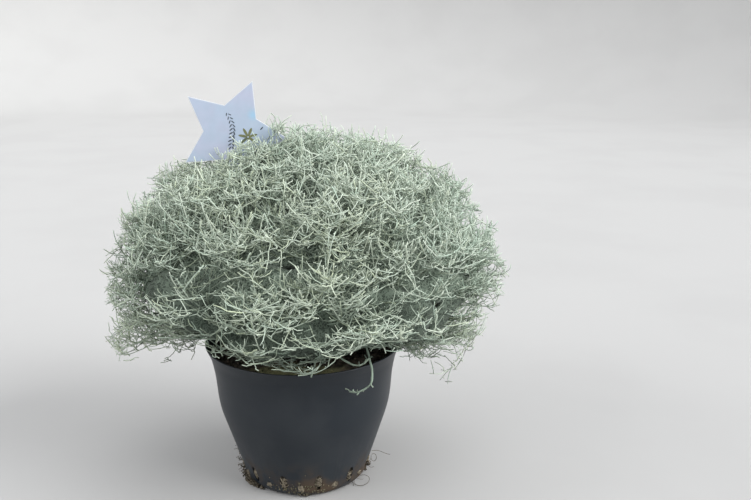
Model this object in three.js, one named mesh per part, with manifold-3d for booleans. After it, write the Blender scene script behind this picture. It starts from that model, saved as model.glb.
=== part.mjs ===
// Potted cushion bush: a silver-grey mound of wiry twigs in a dark moulded nursery pot.
// Millimetres, +Z up, +X to the right, -Y to the front. The origin is the middle of the pot's flat foot.

import * as THREE from "three";
import { mergeVertices } from "three/addons/utils/BufferGeometryUtils.js";
import Module from "manifold-3d";

const wasm = await Module();
wasm.setup();

const FULL_TURN = 2 * Math.PI;
const UP = new THREE.Vector3(0, 0, 1);
const FRONT_AZIMUTH = -Math.PI / 2;
const RIGHT_AZIMUTH = 0;
const LEFT_AZIMUTH = Math.PI;

// Pieces that touch keep this gap. Corners nearer than the merge distance are one corner.
const GAP = 0.3;
const MERGE_DISTANCE = 1e-3;

// Pot: outer radii of a thin moulded wall, from the foot to the flared rim.
const POT_HEIGHT = 143;
const POT_WALL = 1.6;
const POT_SIDES = 32;
const CORNER_STEPS = 3;
const LINING_STEPS = 2;
const FOOT_RADIUS = 53;
const CORNER_RADIUS = 64;
const CORNER_RISE = 12;
const SHOULDER_RADIUS = 86;
const SHOULDER_HEIGHT = 80;
const COLLAR_RADIUS = 89;
const COLLAR_HEIGHT = 114;
const FLARE_RADIUS = 92.5;
const FLARE_HEIGHT = 131;
const RIM_RADIUS = 97.5;

// Drainage: tall slots across the base corner, with a round hole between each two.
const DRAIN_COUNT = 12;
const DRAIN_SIDES = 6;
const SLOT_HALF_WIDTH = 3.6;
const SLOT_HALF_HEIGHT = 9;
const SLOT_MIDDLE_HEIGHT = 17;
const HOLE_HALF_WIDTH = 2.8;
const HOLE_MIDDLE_HEIGHT = 11;

// Soil: a root ball that ends below the rim.
const SOIL_TOP = 134;
const SOIL_RINGS = [1, 0.8, 0.55, 0.3];
const SOIL_LUMP = 2.2;
const COARSE_WAVE = 0.085;
const FINE_WAVE = 0.21;
const FINE_SHARE = 0.4;

// Bush: its outline is an ellipsoid, cut off below at a height that changes round the pot.
const BUSH_CENTRE = new THREE.Vector3(0, 0, 198);
const BUSH_RADII = new THREE.Vector3(200, 182, 158);
const SKIRT_FRONT = 168;
const SKIRT_BACK = 128;
const SKIRT_LEFT = 118;
const SKIRT_RIGHT = 112;
const SKIRT_REACH = 107;
const RIM_CLEARANCE = 6;
const OVER_RIM_HEIGHT = 180;

// Crown: the point that all sprays fan out from, inside the root ball. Elevations are in degrees, and
// each ring of sprays is lifted towards the front, where the bush ends above the rim.
const CROWN = new THREE.Vector3(0, 0, 108);
const TOP_RING = { name: "spray_top", count: 1, elevation: 90, lift: 0, holeRadius: 0 };
const MIDDLE_RING = { name: "spray_middle", count: 4, elevation: 51, lift: 10, holeRadius: 21 };
const LOW_RING = { name: "spray_low", count: 7, elevation: 15, lift: 20, holeRadius: 48 };
const BELOW_RING = { name: "below", count: 7, elevation: -1, lift: 19, holeRadius: 0 };

// Core of a spray: a thin lumpy lobe that its twigs stand out of.
const CORE_SHARE = 0.8;
const CORE_LEAST = 126;
const CORE_EDGE_FALL = 0.1;
const CORE_BUMP = 0.02;
const BUMP_WAVES = new THREE.Vector3(17, 19, 23);
const CORE_THICKNESS = 9;
const CORE_EDGE_THICKNESS = 6;
const CORE_SECTORS = 11;
const CORE_SHARES = [0.48, 0.78, 1];
const CORE_INNER_SHARES = [0.6];
const CELL_FILL = 0.98;
const CELL_PASSES = 4;
const TURN_STEPS = 240;

// Woody stem under the core, and the limbs that it forks into.
const STEM_RADIUS = 3;
const STEM_RADII = [STEM_RADIUS, STEM_RADIUS, 2.6, 2];
const STEM_DEPTH = 25;
const STEM_STRAIGHT = 8;
const STEM_SIDES = 5;
const STEM_HOLE_SIDES = 8;
const STEM_HOLE_ABOVE = 12;
const KNEE_SHARE = 0.45;
const KNEE_RISE = 24;
const LIMB_COUNT = 3;
const LIMB_SHARE = 0.6;
const LIMB_RADIUS = 1.8;

// Wiry twigs, each with side twigs at its bend.
const TWIGS_EACH = 33;
const TWIG_SIDES = 3;
const TWIG_RADIUS = 1.5;
const TWIG_BEND_RADIUS = 1.3;
const TWIG_LEAN = 0.22;
const TWIG_LIFT = 0.03;
const TWIG_GATHER = 0.4;
const TWIG_BOW = 6;
const TIP_SPREAD = 0.05;
const FACE_ROOM = 2.5;
const SIDE_TWIG_LENGTH = 22;
const SIDE_TWIG_LENGTHS = [0.7, 1.3];
const SIDE_TWIG_SPLAY = 0.9;
const SIDE_TWIG_LIFTS = [0.35, 1.25];
const SIDE_TWIG_ROOT = 2.4;
const SIDE_TWIG_SHARE = 0.6;
const CELL_CLEARANCE = 2;
const SAMPLE_STEP = 4;
const TWIG_DISTANCE = 4;
const CORE_DISTANCE = 2;
const LEAST_CLIMB = 1;
const MOST_TRIES = 14;
const LEAST_SLANT = 0.25;

// Twigs that hang out of the front over the rim: routes by hand, in millimetres.
const HANGING_LIFT = 0.08;
const HANGING_SHARE = 0.8;
const HANGING = [
  {
    spray: "spray_low_1",
    route: [
      [64, -95, 166],
      [67, -95, 157],
      [69, -95, 146],
      [68, -95, 135],
      [62, -95, 129],
      [55, -95, 126],
      [48, -95, 127],
    ],
  },
  {
    spray: "spray_low_1",
    route: [
      [20, -108, 166],
      [18, -108, 156],
      [15, -108, 146],
    ],
  },
  {
    spray: "spray_low_7",
    route: [
      [-16, -108, 167],
      [-9, -108, 156],
      [-4, -107, 151],
    ],
  },
];

// Label: a thin star on its side, with a stake from its lowest point down through the bush into the soil.
const STAR_CENTRE = new THREE.Vector3(-63, -4, 348);
const STAR_RADIUS = 53;
const STAR_INNER_SHARE = 0.51;
const STAR_TURN = 67;
const LABEL_THICKNESS = 0.8;
const STAKE_WIDTH = 7;
const STAKE_LENGTH = 248;
const STAKE_TURN = STAR_TURN - 144;
const POINT_MARGIN = 3;
const LABEL_CLEARANCE = 0.9;

const FIRST_SEED = 11;

// Repeatable random numbers from 0 to 1.
function seededRandom(seed) {
  let state = seed;
  return () => {
    state = (state + 0x6d2b79f5) | 0;
    let mixed = Math.imul(state ^ (state >>> 15), 1 | state);
    mixed = (mixed + Math.imul(mixed ^ (mixed >>> 7), 61 | mixed)) ^ mixed;
    return ((mixed ^ (mixed >>> 14)) >>> 0) / 4294967296;
  };
}

// Unit direction from azimuth and elevation, both in radians.
function directionAt(azimuth, elevation) {
  const level = Math.cos(elevation);
  return new THREE.Vector3(level * Math.cos(azimuth), level * Math.sin(azimuth), Math.sin(elevation));
}

// How nearly a point lies towards an azimuth: 1 straight that way, 0 at a right angle or behind.
function towards(point, azimuth) {
  return Math.max(0, Math.cos(Math.atan2(point.y, point.x) - azimuth));
}

// Closed mesh as a solid, with its shared corners merged and its empty faces left out.
function toSolid(geometry) {
  const bare = geometry.index ? geometry.toNonIndexed() : geometry.clone();
  bare.deleteAttribute("normal");
  bare.deleteAttribute("uv");
  const merged = mergeVertices(bare, MERGE_DISTANCE);
  const index = merged.index.array;
  const triVerts = [];
  for (let i = 0; i < index.length; i += 3) {
    const [a, b, c] = [index[i], index[i + 1], index[i + 2]];
    if (a !== b && b !== c && c !== a) triVerts.push(a, b, c);
  }
  const vertProperties = merged.attributes.position.array;
  const mesh = new wasm.Mesh({ numProp: 3, vertProperties, triVerts: new Uint32Array(triVerts) });
  return new wasm.Manifold(mesh);
}

// Solid back to a geometry with flat-shaded normals.
function toGeometry(solid) {
  const mesh = solid.getMesh();
  const geometry = new THREE.BufferGeometry();
  geometry.setAttribute("position", new THREE.BufferAttribute(mesh.vertProperties, mesh.numProp));
  geometry.setIndex(new THREE.BufferAttribute(mesh.triVerts, 1));
  geometry.computeVertexNormals();
  return geometry;
}

// Closed skin over rows of points that turn the same way round, from a first pole to a last one.
function loft(firstPole, rows, lastPole) {
  const count = rows[0].length;
  const corners = [firstPole, ...rows.flat(), lastPole];
  const last = corners.length - 1;
  const numbers = rows.map((_, row) => Array.from({ length: count }, (__, i) => 1 + row * count + i));
  const faces = numbers[0].map((corner, i) => [0, numbers[0][(i + 1) % count], corner]);
  for (let row = 0; row + 1 < rows.length; row += 1) faces.push(...band(numbers[row], numbers[row + 1]));
  faces.push(...fan(numbers[rows.length - 1], last));
  return { corners, faces };
}

// Faces between two rings of as many corners.
function band(ring, next) {
  return ring.flatMap((corner, i) => {
    const j = (i + 1) % ring.length;
    return [
      [corner, ring[j], next[j]],
      [corner, next[j], next[i]],
    ];
  });
}

// Faces from a ring to a tip.
function fan(ring, tip) {
  return ring.map((corner, i) => [corner, ring[(i + 1) % ring.length], tip]);
}

// Skin of corners and faces as a solid.
function skinToSolid({ corners, faces }) {
  const geometry = new THREE.BufferGeometry().setFromPoints(corners);
  geometry.setIndex(faces.flat());
  return toSolid(geometry);
}

// Tapered limb through points, with a radius at each. A radius of 0 ends it in a point.
function limb(points, radii, sides) {
  const chord = points[points.length - 1].clone().sub(points[0]);
  const aside = Math.abs(chord.z) > chord.length() / 2 ? new THREE.Vector3(1, 0, 0) : UP;
  const rows = points.map((point, row) => {
    const before = points[Math.max(row - 1, 0)];
    const after = points[Math.min(row + 1, points.length - 1)];
    const along = after.clone().sub(before).normalize();
    const across = along.clone().cross(aside).normalize();
    const over = along.clone().cross(across);
    return Array.from({ length: sides }, (_, i) => {
      const angle = (FULL_TURN * i) / sides;
      return point
        .clone()
        .addScaledVector(across, radii[row] * Math.cos(angle))
        .addScaledVector(over, radii[row] * Math.sin(angle));
    });
  });
  const open = rows.filter((_, row) => radii[row] > 0);
  return skinToSolid(loft(points[0], open, points[points.length - 1]));
}

// Solid of revolution about the pot's axis, from [radius, height] points that run upwards outside.
function turned(profile, sides) {
  const points = profile.map(([radius, height]) => new THREE.Vector2(radius, height));
  return new THREE.LatheGeometry(points, sides).rotateX(Math.PI / 2);
}

// Outer profile of the pot, set in by a given amount.
function potProfile(inset, cornerSteps) {
  const corner = Array.from({ length: cornerSteps }, (_, i) => {
    const angle = ((i + 1) / cornerSteps) * (Math.PI / 2);
    const radius = FOOT_RADIUS + (CORNER_RADIUS - FOOT_RADIUS) * Math.sin(angle) - inset * Math.sin(angle);
    return [radius, inset + (CORNER_RISE - inset) * (1 - Math.cos(angle))];
  });
  return [
    [FOOT_RADIUS, inset],
    ...corner,
    [SHOULDER_RADIUS - inset, SHOULDER_HEIGHT],
    [COLLAR_RADIUS - inset, COLLAR_HEIGHT],
    [FLARE_RADIUS - inset, FLARE_HEIGHT],
    [RIM_RADIUS - inset, POT_HEIGHT],
  ];
}

// Radius at a height on a profile.
function radiusAt(profile, height) {
  const upper = profile.findIndex(([, level]) => level >= height);
  const [lowRadius, lowLevel] = profile[upper - 1];
  const [highRadius, highLevel] = profile[upper];
  return THREE.MathUtils.mapLinear(height, lowLevel, highLevel, lowRadius, highRadius);
}

// Level round bar that points outwards at an azimuth, to cut one drainage opening.
function drainCutter(azimuth, halfWidth, halfHeight, height) {
  const start = directionAt(azimuth, 0).multiplyScalar(FOOT_RADIUS - POT_WALL);
  const length = SHOULDER_RADIUS - FOOT_RADIUS;
  const bar = new THREE.CylinderGeometry(halfWidth, halfWidth, length, DRAIN_SIDES);
  bar.rotateZ(-Math.PI / 2);
  bar.translate(length / 2, 0, 0);
  bar.scale(1, 1, halfHeight / halfWidth);
  bar.rotateZ(azimuth);
  bar.translate(start.x, start.y, height);
  return toSolid(bar);
}

function makePot() {
  const inside = potProfile(POT_WALL, LINING_STEPS).reverse();
  const profile = [[0, 0], ...potProfile(0, CORNER_STEPS), ...inside, [0, POT_WALL]];
  const cutters = Array.from({ length: DRAIN_COUNT }, (_, i) => {
    const azimuth = FRONT_AZIMUTH + (FULL_TURN * i) / DRAIN_COUNT;
    const between = azimuth + Math.PI / DRAIN_COUNT;
    return [
      drainCutter(azimuth, HOLE_HALF_WIDTH, HOLE_HALF_WIDTH, HOLE_MIDDLE_HEIGHT),
      drainCutter(between, SLOT_HALF_WIDTH, SLOT_HALF_HEIGHT, SLOT_MIDDLE_HEIGHT),
    ];
  });
  return toSolid(turned(profile, POT_SIDES)).subtract(wasm.Manifold.union(cutters.flat()));
}

// Height of the soil's lumps at a place.
function soilLump(x, y) {
  const coarse = Math.sin(x * COARSE_WAVE) * Math.cos(y * COARSE_WAVE);
  const fine = Math.sin((x - y) * FINE_WAVE);
  return SOIL_LUMP * (coarse + FINE_SHARE * fine);
}

function makeSoil(holes) {
  const inside = potProfile(POT_WALL + GAP, LINING_STEPS);
  const lining = inside.filter(([, height]) => height < SOIL_TOP);
  const edge = radiusAt(inside, SOIL_TOP);
  const top = SOIL_RINGS.map((share) => [edge * share, SOIL_TOP]);
  const profile = [[0, POT_WALL + GAP], ...lining, ...top, [0, SOIL_TOP]];
  const geometry = turned(profile, POT_SIDES);
  const position = geometry.attributes.position;
  for (let i = 0; i < position.count; i += 1) {
    const [x, y, z] = [position.getX(i), position.getY(i), position.getZ(i)];
    const onTop = z > SOIL_TOP - GAP && Math.hypot(x, y) < edge - GAP;
    if (onTop) position.setZ(i, SOIL_TOP + soilLump(x, y));
  }
  return toSolid(geometry).subtract(wasm.Manifold.union(holes));
}

// Distance from the crown to the bush's outline along a direction.
function reach(direction) {
  const start = CROWN.clone().sub(BUSH_CENTRE).divide(BUSH_RADII);
  const step = direction.clone().divide(BUSH_RADII);
  const a = step.dot(step);
  const b = start.dot(step);
  const c = start.dot(start) - 1;
  return (Math.sqrt(b * b - a * c) - b) / a;
}

// Lowest height of the foliage at a place outside the rim.
function skirtAt(point) {
  const front = towards(point, FRONT_AZIMUTH) ** 2;
  const back = towards(point, -FRONT_AZIMUTH) ** 2;
  const right = towards(point, RIGHT_AZIMUTH) ** 2;
  const left = towards(point, LEFT_AZIMUTH) ** 2;
  return SKIRT_FRONT * front + SKIRT_BACK * back + SKIRT_RIGHT * right + SKIRT_LEFT * left;
}

// Sprays of one ring, evenly round the crown, with each one's middle direction and its hole in the soil.
function sprayRing({ name, count, elevation, lift, holeRadius }) {
  return Array.from({ length: count }, (_, i) => {
    const azimuth = FRONT_AZIMUTH + (FULL_TURN * (i + 0.5)) / count;
    const level = directionAt(azimuth, 0);
    const raised = THREE.MathUtils.degToRad(elevation + lift * towards(level, FRONT_AZIMUTH) ** 2);
    const middle = directionAt(azimuth, raised);
    return { name: `${name}_${i + 1}`, azimuth, middle, hole: level.multiplyScalar(holeRadius) };
  });
}

const SPRAYS = [TOP_RING, MIDDLE_RING, LOW_RING].flatMap(sprayRing);
const BELOW = sprayRing(BELOW_RING).map((spray) => spray.middle);

// Planes through the crown, half way to each neighbour, that a spray stays behind.
function cellPlanes(spray, neighbours) {
  return neighbours
    .filter((other) => other !== spray.middle)
    .map((other) => other.clone().sub(spray.middle).normalize());
}

// A pull back across any plane of the cell that a point comes too near to.
function keepInCell(point, planes) {
  for (let pass = 0; pass < CELL_PASSES; pass += 1) {
    for (const normal of planes) {
      const past = point.clone().sub(CROWN).dot(normal) + CELL_CLEARANCE;
      if (past > 0) point.addScaledVector(normal, -past);
    }
  }
  return point;
}

// A push up or out, so that a twig clears the rim and ends at the bush's skirt.
function keepOffPot(point, fromInside) {
  if (fromInside) {
    point.z = Math.max(point.z, POT_HEIGHT + RIM_CLEARANCE);
    return point;
  }
  const radius = Math.hypot(point.x, point.y);
  point.z = Math.max(point.z, skirtAt(point));
  if (radius < SKIRT_REACH && point.z < OVER_RIM_HEIGHT) {
    point.x *= SKIRT_REACH / radius;
    point.y *= SKIRT_REACH / radius;
  }
  return point;
}

// Level direction to one side of a spray's middle, and the direction that rises square to both.
function sideAndRise(spray) {
  const side = new THREE.Vector3(-Math.sin(spray.azimuth), Math.cos(spray.azimuth), 0);
  return { side, rise: spray.middle.clone().cross(side) };
}

// Direction at an angle from the spray's middle, turned about it.
function around(spray, angle, turn) {
  const { side, rise } = sideAndRise(spray);
  const across = rise.multiplyScalar(Math.cos(turn)).addScaledVector(side, Math.sin(turn));
  return spray.middle.clone().multiplyScalar(Math.cos(angle)).addScaledVector(across, Math.sin(angle));
}

// Angles from the spray's middle to each plane of its cell, in one turn direction.
function planeAngles(spray, planes, turn) {
  const aside = around(spray, Math.PI / 2, turn);
  return planes.map((normal) => {
    const across = aside.dot(normal);
    return across > 0 ? Math.atan2(-spray.middle.dot(normal), across) : Math.PI;
  });
}

// Angle from the spray's middle to the edge of its cell, in one turn direction.
function cellAngle(spray, planes, turn) {
  return Math.min(...planeAngles(spray, planes, turn));
}

// Turns that cut a cell into sectors: one at each corner of the cell, and others evenly between them.
function sectorTurns(spray, planes) {
  const nearest = (turn) => {
    const angles = planeAngles(spray, planes, turn);
    return angles.indexOf(Math.min(...angles));
  };
  const steps = Array.from({ length: TURN_STEPS }, (_, i) => (-FULL_TURN * i) / TURN_STEPS);
  const corners = steps.filter((turn) => nearest(turn) !== nearest(turn - FULL_TURN / TURN_STEPS));
  return corners.flatMap((turn, i) => {
    const next = i + 1 < corners.length ? corners[i + 1] : corners[0] - FULL_TURN;
    const parts = Math.max(1, Math.round(((turn - next) * CORE_SECTORS) / FULL_TURN));
    return Array.from({ length: parts }, (__, k) => turn + ((next - turn) * k) / parts);
  });
}

// Low bumps on the core, from a sum of waves over its directions.
function bump(direction) {
  const { x, y, z } = direction.clone().multiply(BUMP_WAVES);
  return CORE_BUMP * (Math.sin(x) * Math.sin(y) + Math.sin(z));
}

// Distance from the crown to the core's outer face. share runs from 0 in its middle to 1 at its edge.
function coreReach(direction, share) {
  const lobe = reach(direction) * (CORE_SHARE + bump(direction)) * (1 - CORE_EDGE_FALL * share ** 3);
  return Math.max(lobe, CORE_LEAST);
}

// Share of the way from the core's middle to its edge at which a direction lies.
function shareAt(spray, planes, direction) {
  const { side, rise } = sideAndRise(spray);
  const turn = Math.atan2(direction.dot(side), direction.dot(rise));
  return Math.min(1, spray.middle.angleTo(direction) / (cellAngle(spray, planes, turn) * CELL_FILL));
}

function corePoint(spray, planes, share, turn, depth) {
  const direction = around(spray, cellAngle(spray, planes, turn) * CELL_FILL * share, turn);
  return direction.clone().multiplyScalar(coreReach(direction, share) - depth).add(CROWN);
}

// Skin of the core: corners, and faces as triples of corner numbers. The outer side's faces come last.
function makeCore(spray, planes) {
  const turns = sectorTurns(spray, planes);
  const ring = (share, depth) => turns.map((turn) => corePoint(spray, planes, share, turn, depth));
  const inside = CORE_INNER_SHARES.map((share) => ring(share, CORE_THICKNESS));
  const outside = CORE_SHARES.map((share) => ring(share, 0)).reverse();
  const innerPole = corePoint(spray, planes, 0, 0, CORE_THICKNESS);
  const outerPole = corePoint(spray, planes, 0, 0, 0);
  const skin = loft(innerPole, [...inside, ring(1, CORE_EDGE_THICKNESS), ...outside], outerPole);
  return { ...skin, outerCount: turns.length * (2 * CORE_SHARES.length - 1) };
}

function stemRoot(spray, depth) {
  return new THREE.Vector3(spray.hole.x, spray.hole.y, SOIL_TOP - depth);
}

// Woody stem from its hole in the soil up to the core, and limbs that fork off it.
function makeStem(spray, planes) {
  const foot = stemRoot(spray, STEM_DEPTH - GAP);
  const collar = stemRoot(spray, -STEM_STRAIGHT);
  const head = corePoint(spray, planes, 0, 0, CORE_THICKNESS / 2);
  const knee = collar.clone().lerp(head, KNEE_SHARE);
  knee.z = Math.max(knee.z, collar.z + KNEE_RISE);
  const stem = limb([foot, collar, knee, head], STEM_RADII, STEM_SIDES);
  const limbs = Array.from({ length: LIMB_COUNT }, (_, i) => {
    const turn = (FULL_TURN * (i + 0.5)) / LIMB_COUNT;
    const end = corePoint(spray, planes, LIMB_SHARE, turn, CORE_THICKNESS / 2);
    return limb([knee, end], [LIMB_RADIUS, LIMB_RADIUS], TWIG_SIDES);
  });
  return [stem, ...limbs];
}

// A shoot grown out of one face of a skin. The face is opened round a small base triangle, whose sides run
// on to each ring and to the tip. It returns the numbers of faces that side twigs can grow out of.
function sprout(skin, faceNumber, base, rings, tip) {
  const outline = skin.faces[faceNumber];
  const first = skin.corners.length;
  skin.corners.push(...base, ...rings.flat(), tip);
  const numbers = [base, ...rings].map((_, ring) => [0, 1, 2].map((i) => first + 3 * ring + i));
  const levels = [outline, ...numbers];
  const faces = numbers.flatMap((ring, level) => band(levels[level], ring));
  faces.push(...fan(numbers[rings.length], skin.corners.length - 1));
  skin.faces[faceNumber] = faces[0];
  skin.faces.push(...faces.slice(1));
  const lastFace = skin.faces.length - 1;
  const tipFaces = [lastFace - 2, lastFace - 1, lastFace];
  const bandFaces = [lastFace - 7, lastFace - 5, lastFace - 3];
  return { tipFaces, bandFaces };
}

// Ring of three corners about a point, square to an axis, that keeps the sense of three given directions.
function ringAbout(middle, axis, directions, radius) {
  return directions.map((direction) => {
    const aside = direction.clone().addScaledVector(axis, -direction.dot(axis)).normalize();
    return middle.clone().addScaledVector(aside, radius);
  });
}

// Points along a chain of straight stretches, a few millimetres apart.
function samplesAlong(chain) {
  return chain.slice(1).flatMap((end, i) => {
    const count = Math.ceil(end.distanceTo(chain[i]) / SAMPLE_STEP);
    return Array.from({ length: count }, (_, k) => chain[i].clone().lerp(end, (k + 1) / count));
  });
}

// Whether samples keep clear of the twigs already there and of the core.
function isClear(samples, taken, startHeight, surface) {
  return samples.every((sample, i) => {
    const outward = sample.clone().sub(CROWN);
    const direction = outward.clone().normalize();
    const height = outward.length() - surface(direction);
    const needed = Math.min(CORE_DISTANCE, startHeight + (i + 1) * LEAST_CLIMB);
    return height > needed && taken.every((other) => other.distanceTo(sample) > TWIG_DISTANCE);
  });
}

// Triangle near the wide end of a long thin face, in the order of the face's corners. far is the corner that
// the face narrows to.
function rootTriangle(skin, faceNumber, far) {
  const corners = skin.faces[faceNumber].map((number) => skin.corners[number]);
  const wide = [0, 1, 2].filter((i) => i !== far).map((i) => corners[i]);
  const middle = wide[0].clone().add(wide[1]).multiplyScalar(0.5);
  const along = corners[far].clone().sub(middle);
  const near = middle.clone().addScaledVector(along, 1 / along.length());
  const top = near.clone().addScaledVector(along, SIDE_TWIG_ROOT / along.length());
  return corners.map((corner, i) => {
    if (i === far) return top;
    return near.clone().addScaledVector(corner.clone().sub(middle), SIDE_TWIG_SHARE);
  });
}

// Radius of the largest circle that fits in a face.
function roomIn(skin, faceNumber) {
  const [a, b, c] = skin.faces[faceNumber].map((number) => skin.corners[number]);
  const round = a.distanceTo(b) + b.distanceTo(c) + c.distanceTo(a);
  return b.clone().sub(a).cross(c.clone().sub(a)).length() / round;
}

function faceNormal(skin, faceNumber) {
  const [a, b, c] = skin.faces[faceNumber].map((number) => skin.corners[number]);
  return b.clone().sub(a).cross(c.clone().sub(a)).normalize();
}

// Side twig: a thin point that grows out of the twig's own face. It is left out where no place is clear.
function growSideTwig(skin, faceNumber, far, rules, random, taken) {
  const base = rootTriangle(skin, faceNumber, far);
  const root = base[0].clone().add(base[1]).add(base[2]).divideScalar(3);
  const normal = faceNormal(skin, faceNumber);
  const outward = root.clone().sub(CROWN).normalize();
  for (let attempt = 0; attempt < MOST_TRIES; attempt += 1) {
    const lift = THREE.MathUtils.lerp(...SIDE_TWIG_LIFTS, random());
    const heading = normal.clone().multiplyScalar(SIDE_TWIG_SPLAY).addScaledVector(outward, lift);
    const length = SIDE_TWIG_LENGTH * THREE.MathUtils.lerp(...SIDE_TWIG_LENGTHS, random());
    const tip = rules.settle(root.clone().addScaledVector(heading.normalize(), length));
    const samples = samplesAlong([root, tip]);
    const leaves = tip.clone().sub(root).normalize().dot(normal) > LEAST_SLANT;
    if (leaves && isClear(samples, taken, CORE_DISTANCE, rules.surface)) {
      sprout(skin, faceNumber, base, [], tip);
      return samples;
    }
  }
  return [];
}

// One twig with its side twigs, grown out of one face of the core. It ends about at the bush's outline.
function growTwig(skin, faceNumber, { middle, planes, surface }, random, taken) {
  const spread = (amount) => amount * (2 * random() - 1);
  const corners = skin.faces[faceNumber].map((number) => skin.corners[number]);
  const root = corners[0].clone().add(corners[1]).add(corners[2]).divideScalar(3);
  const fromInside = Math.hypot(root.x, root.y) < SKIRT_REACH && root.z > POT_HEIGHT;
  const settle = (point) => keepOffPot(keepInCell(point, planes), fromInside);
  const rules = { settle, surface };
  const radial = root.clone().sub(CROWN).normalize();
  const rootHeight = root.distanceTo(CROWN) - surface(radial);
  const normal = faceNormal(skin, faceNumber);
  for (let attempt = 0; attempt < MOST_TRIES; attempt += 1) {
    const lean = new THREE.Vector3(spread(TWIG_LEAN), spread(TWIG_LEAN), spread(TWIG_LEAN) + TWIG_LIFT);
    const inward = middle.clone().sub(radial).multiplyScalar(TWIG_GATHER * random());
    const outward = radial.clone().add(lean).add(inward).normalize();
    const tip = settle(outward.clone().multiplyScalar(reach(outward) * (1 + spread(TIP_SPREAD))).add(CROWN));
    const bow = new THREE.Vector3(spread(TWIG_BOW), spread(TWIG_BOW), spread(TWIG_BOW));
    const bend = settle(root.clone().lerp(tip, 0.5).add(bow));
    const samples = samplesAlong([root, bend, tip]);
    const leaves = bend.clone().sub(root).normalize().dot(normal) > LEAST_SLANT;
    if (leaves && isClear(samples, taken, rootHeight, surface)) {
      const directions = corners.map((corner) => corner.clone().sub(root).normalize());
      const base = directions.map((direction) => root.clone().addScaledVector(direction, TWIG_RADIUS));
      const ring = ringAbout(bend, tip.clone().sub(root).normalize(), directions, TWIG_BEND_RADIUS);
      const { tipFaces, bandFaces } = sprout(skin, faceNumber, base, [ring], tip);
      const first = Math.floor(3 * random());
      const own = growSideTwig(skin, tipFaces[first], 2, rules, random, taken);
      const second = growSideTwig(skin, bandFaces[(first + 1) % 3], 0, rules, random, [...taken, ...own]);
      taken.push(...samples, ...own, ...second);
      return;
    }
  }
}

// Twigs on the core's outer faces, spread evenly over them.
function growTwigs(skin, cell, random) {
  const outer = Array.from({ length: skin.outerCount }, (_, i) => skin.faces.length - skin.outerCount + i);
  const roomy = outer.filter((faceNumber) => roomIn(skin, faceNumber) > FACE_ROOM);
  const taken = [];
  for (let i = 0; i < TWIGS_EACH; i += 1) {
    growTwig(skin, roomy[Math.floor(((i + 0.5) * roomy.length) / TWIGS_EACH)], cell, random, taken);
  }
}

// Twig that hangs over the rim, from inside the core down its route.
function makeHangingTwig({ route }) {
  const points = route.map((point) => new THREE.Vector3(...point));
  const direction = points[0].clone().sub(CROWN).normalize();
  const inCore = direction.clone().addScaledVector(UP, HANGING_LIFT).normalize();
  const root = inCore.clone().multiplyScalar(coreReach(inCore, HANGING_SHARE) - CORE_THICKNESS / 2).add(CROWN);
  const chain = [root, ...points];
  const radii = chain.map((_, i) => (i + 1 === chain.length ? 0 : TWIG_RADIUS));
  return limb(chain, radii, TWIG_SIDES);
}

// Largest body of a solid, without the scraps that a cut leaves.
function largestBody(solid) {
  return solid.decompose().reduce((best, body) => (body.volume() > best.volume() ? body : best));
}

function makeSpray(spray, labelSlot, seed) {
  const neighbours = SPRAYS.map((other) => other.middle);
  const planes = cellPlanes(spray, neighbours);
  const corePlanes = cellPlanes(spray, [...neighbours, ...BELOW]);
  const skin = makeCore(spray, corePlanes);
  const surface = (direction) => coreReach(direction, shareAt(spray, corePlanes, direction));
  growTwigs(skin, { middle: spray.middle, planes, surface }, seededRandom(seed));
  const hanging = HANGING.filter((twig) => twig.spray === spray.name).map(makeHangingTwig);
  const pieces = [skinToSolid(skin), ...makeStem(spray, corePlanes), ...hanging];
  const joined = largestBody(wasm.Manifold.union(pieces).subtract(labelSlot));
  return largestBody(toSolid(toGeometry(joined)));
}

// Star outline and stake, thicker and wider by a margin on every side.
function makeLabel(margin) {
  const outline = Array.from({ length: 10 }, (_, i) => {
    const angle = THREE.MathUtils.degToRad(STAR_TURN) + (Math.PI * i) / 5;
    const radius = i % 2 ? STAR_RADIUS * STAR_INNER_SHARE + margin : STAR_RADIUS + POINT_MARGIN * margin;
    return new THREE.Vector2(radius * Math.cos(angle), radius * Math.sin(angle));
  });
  const depth = LABEL_THICKNESS + 2 * margin;
  const star = new THREE.ExtrudeGeometry(new THREE.Shape(outline), { depth, bevelEnabled: false });
  star.translate(0, 0, -depth / 2);
  const stake = new THREE.BoxGeometry(STAKE_LENGTH + margin, STAKE_WIDTH + 2 * margin, depth);
  stake.translate((STAKE_LENGTH + margin) / 2, 0, 0);
  stake.rotateZ(THREE.MathUtils.degToRad(STAKE_TURN));
  const [starSolid, stakeSolid] = [star, stake].map((geometry) => {
    geometry.rotateX(Math.PI / 2);
    geometry.translate(STAR_CENTRE.x, STAR_CENTRE.y, STAR_CENTRE.z);
    return toSolid(geometry);
  });
  return starSolid.add(stakeSolid);
}

function stemHole(spray) {
  const radius = (STEM_RADIUS + GAP) / Math.cos(Math.PI / STEM_HOLE_SIDES);
  const depth = STEM_DEPTH + STEM_HOLE_ABOVE;
  const hole = new THREE.CylinderGeometry(radius, radius, depth, STEM_HOLE_SIDES);
  hole.rotateX(Math.PI / 2);
  const bottom = stemRoot(spray, STEM_DEPTH);
  hole.translate(bottom.x, bottom.y, bottom.z + depth / 2);
  return toSolid(hole);
}

function material(color, roughness) {
  return new THREE.MeshStandardMaterial({ color, roughness, metalness: 0 });
}

function addMesh(group, name, solid, finish) {
  const mesh = new THREE.Mesh(toGeometry(solid), finish);
  mesh.name = name;
  group.add(mesh);
}

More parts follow.
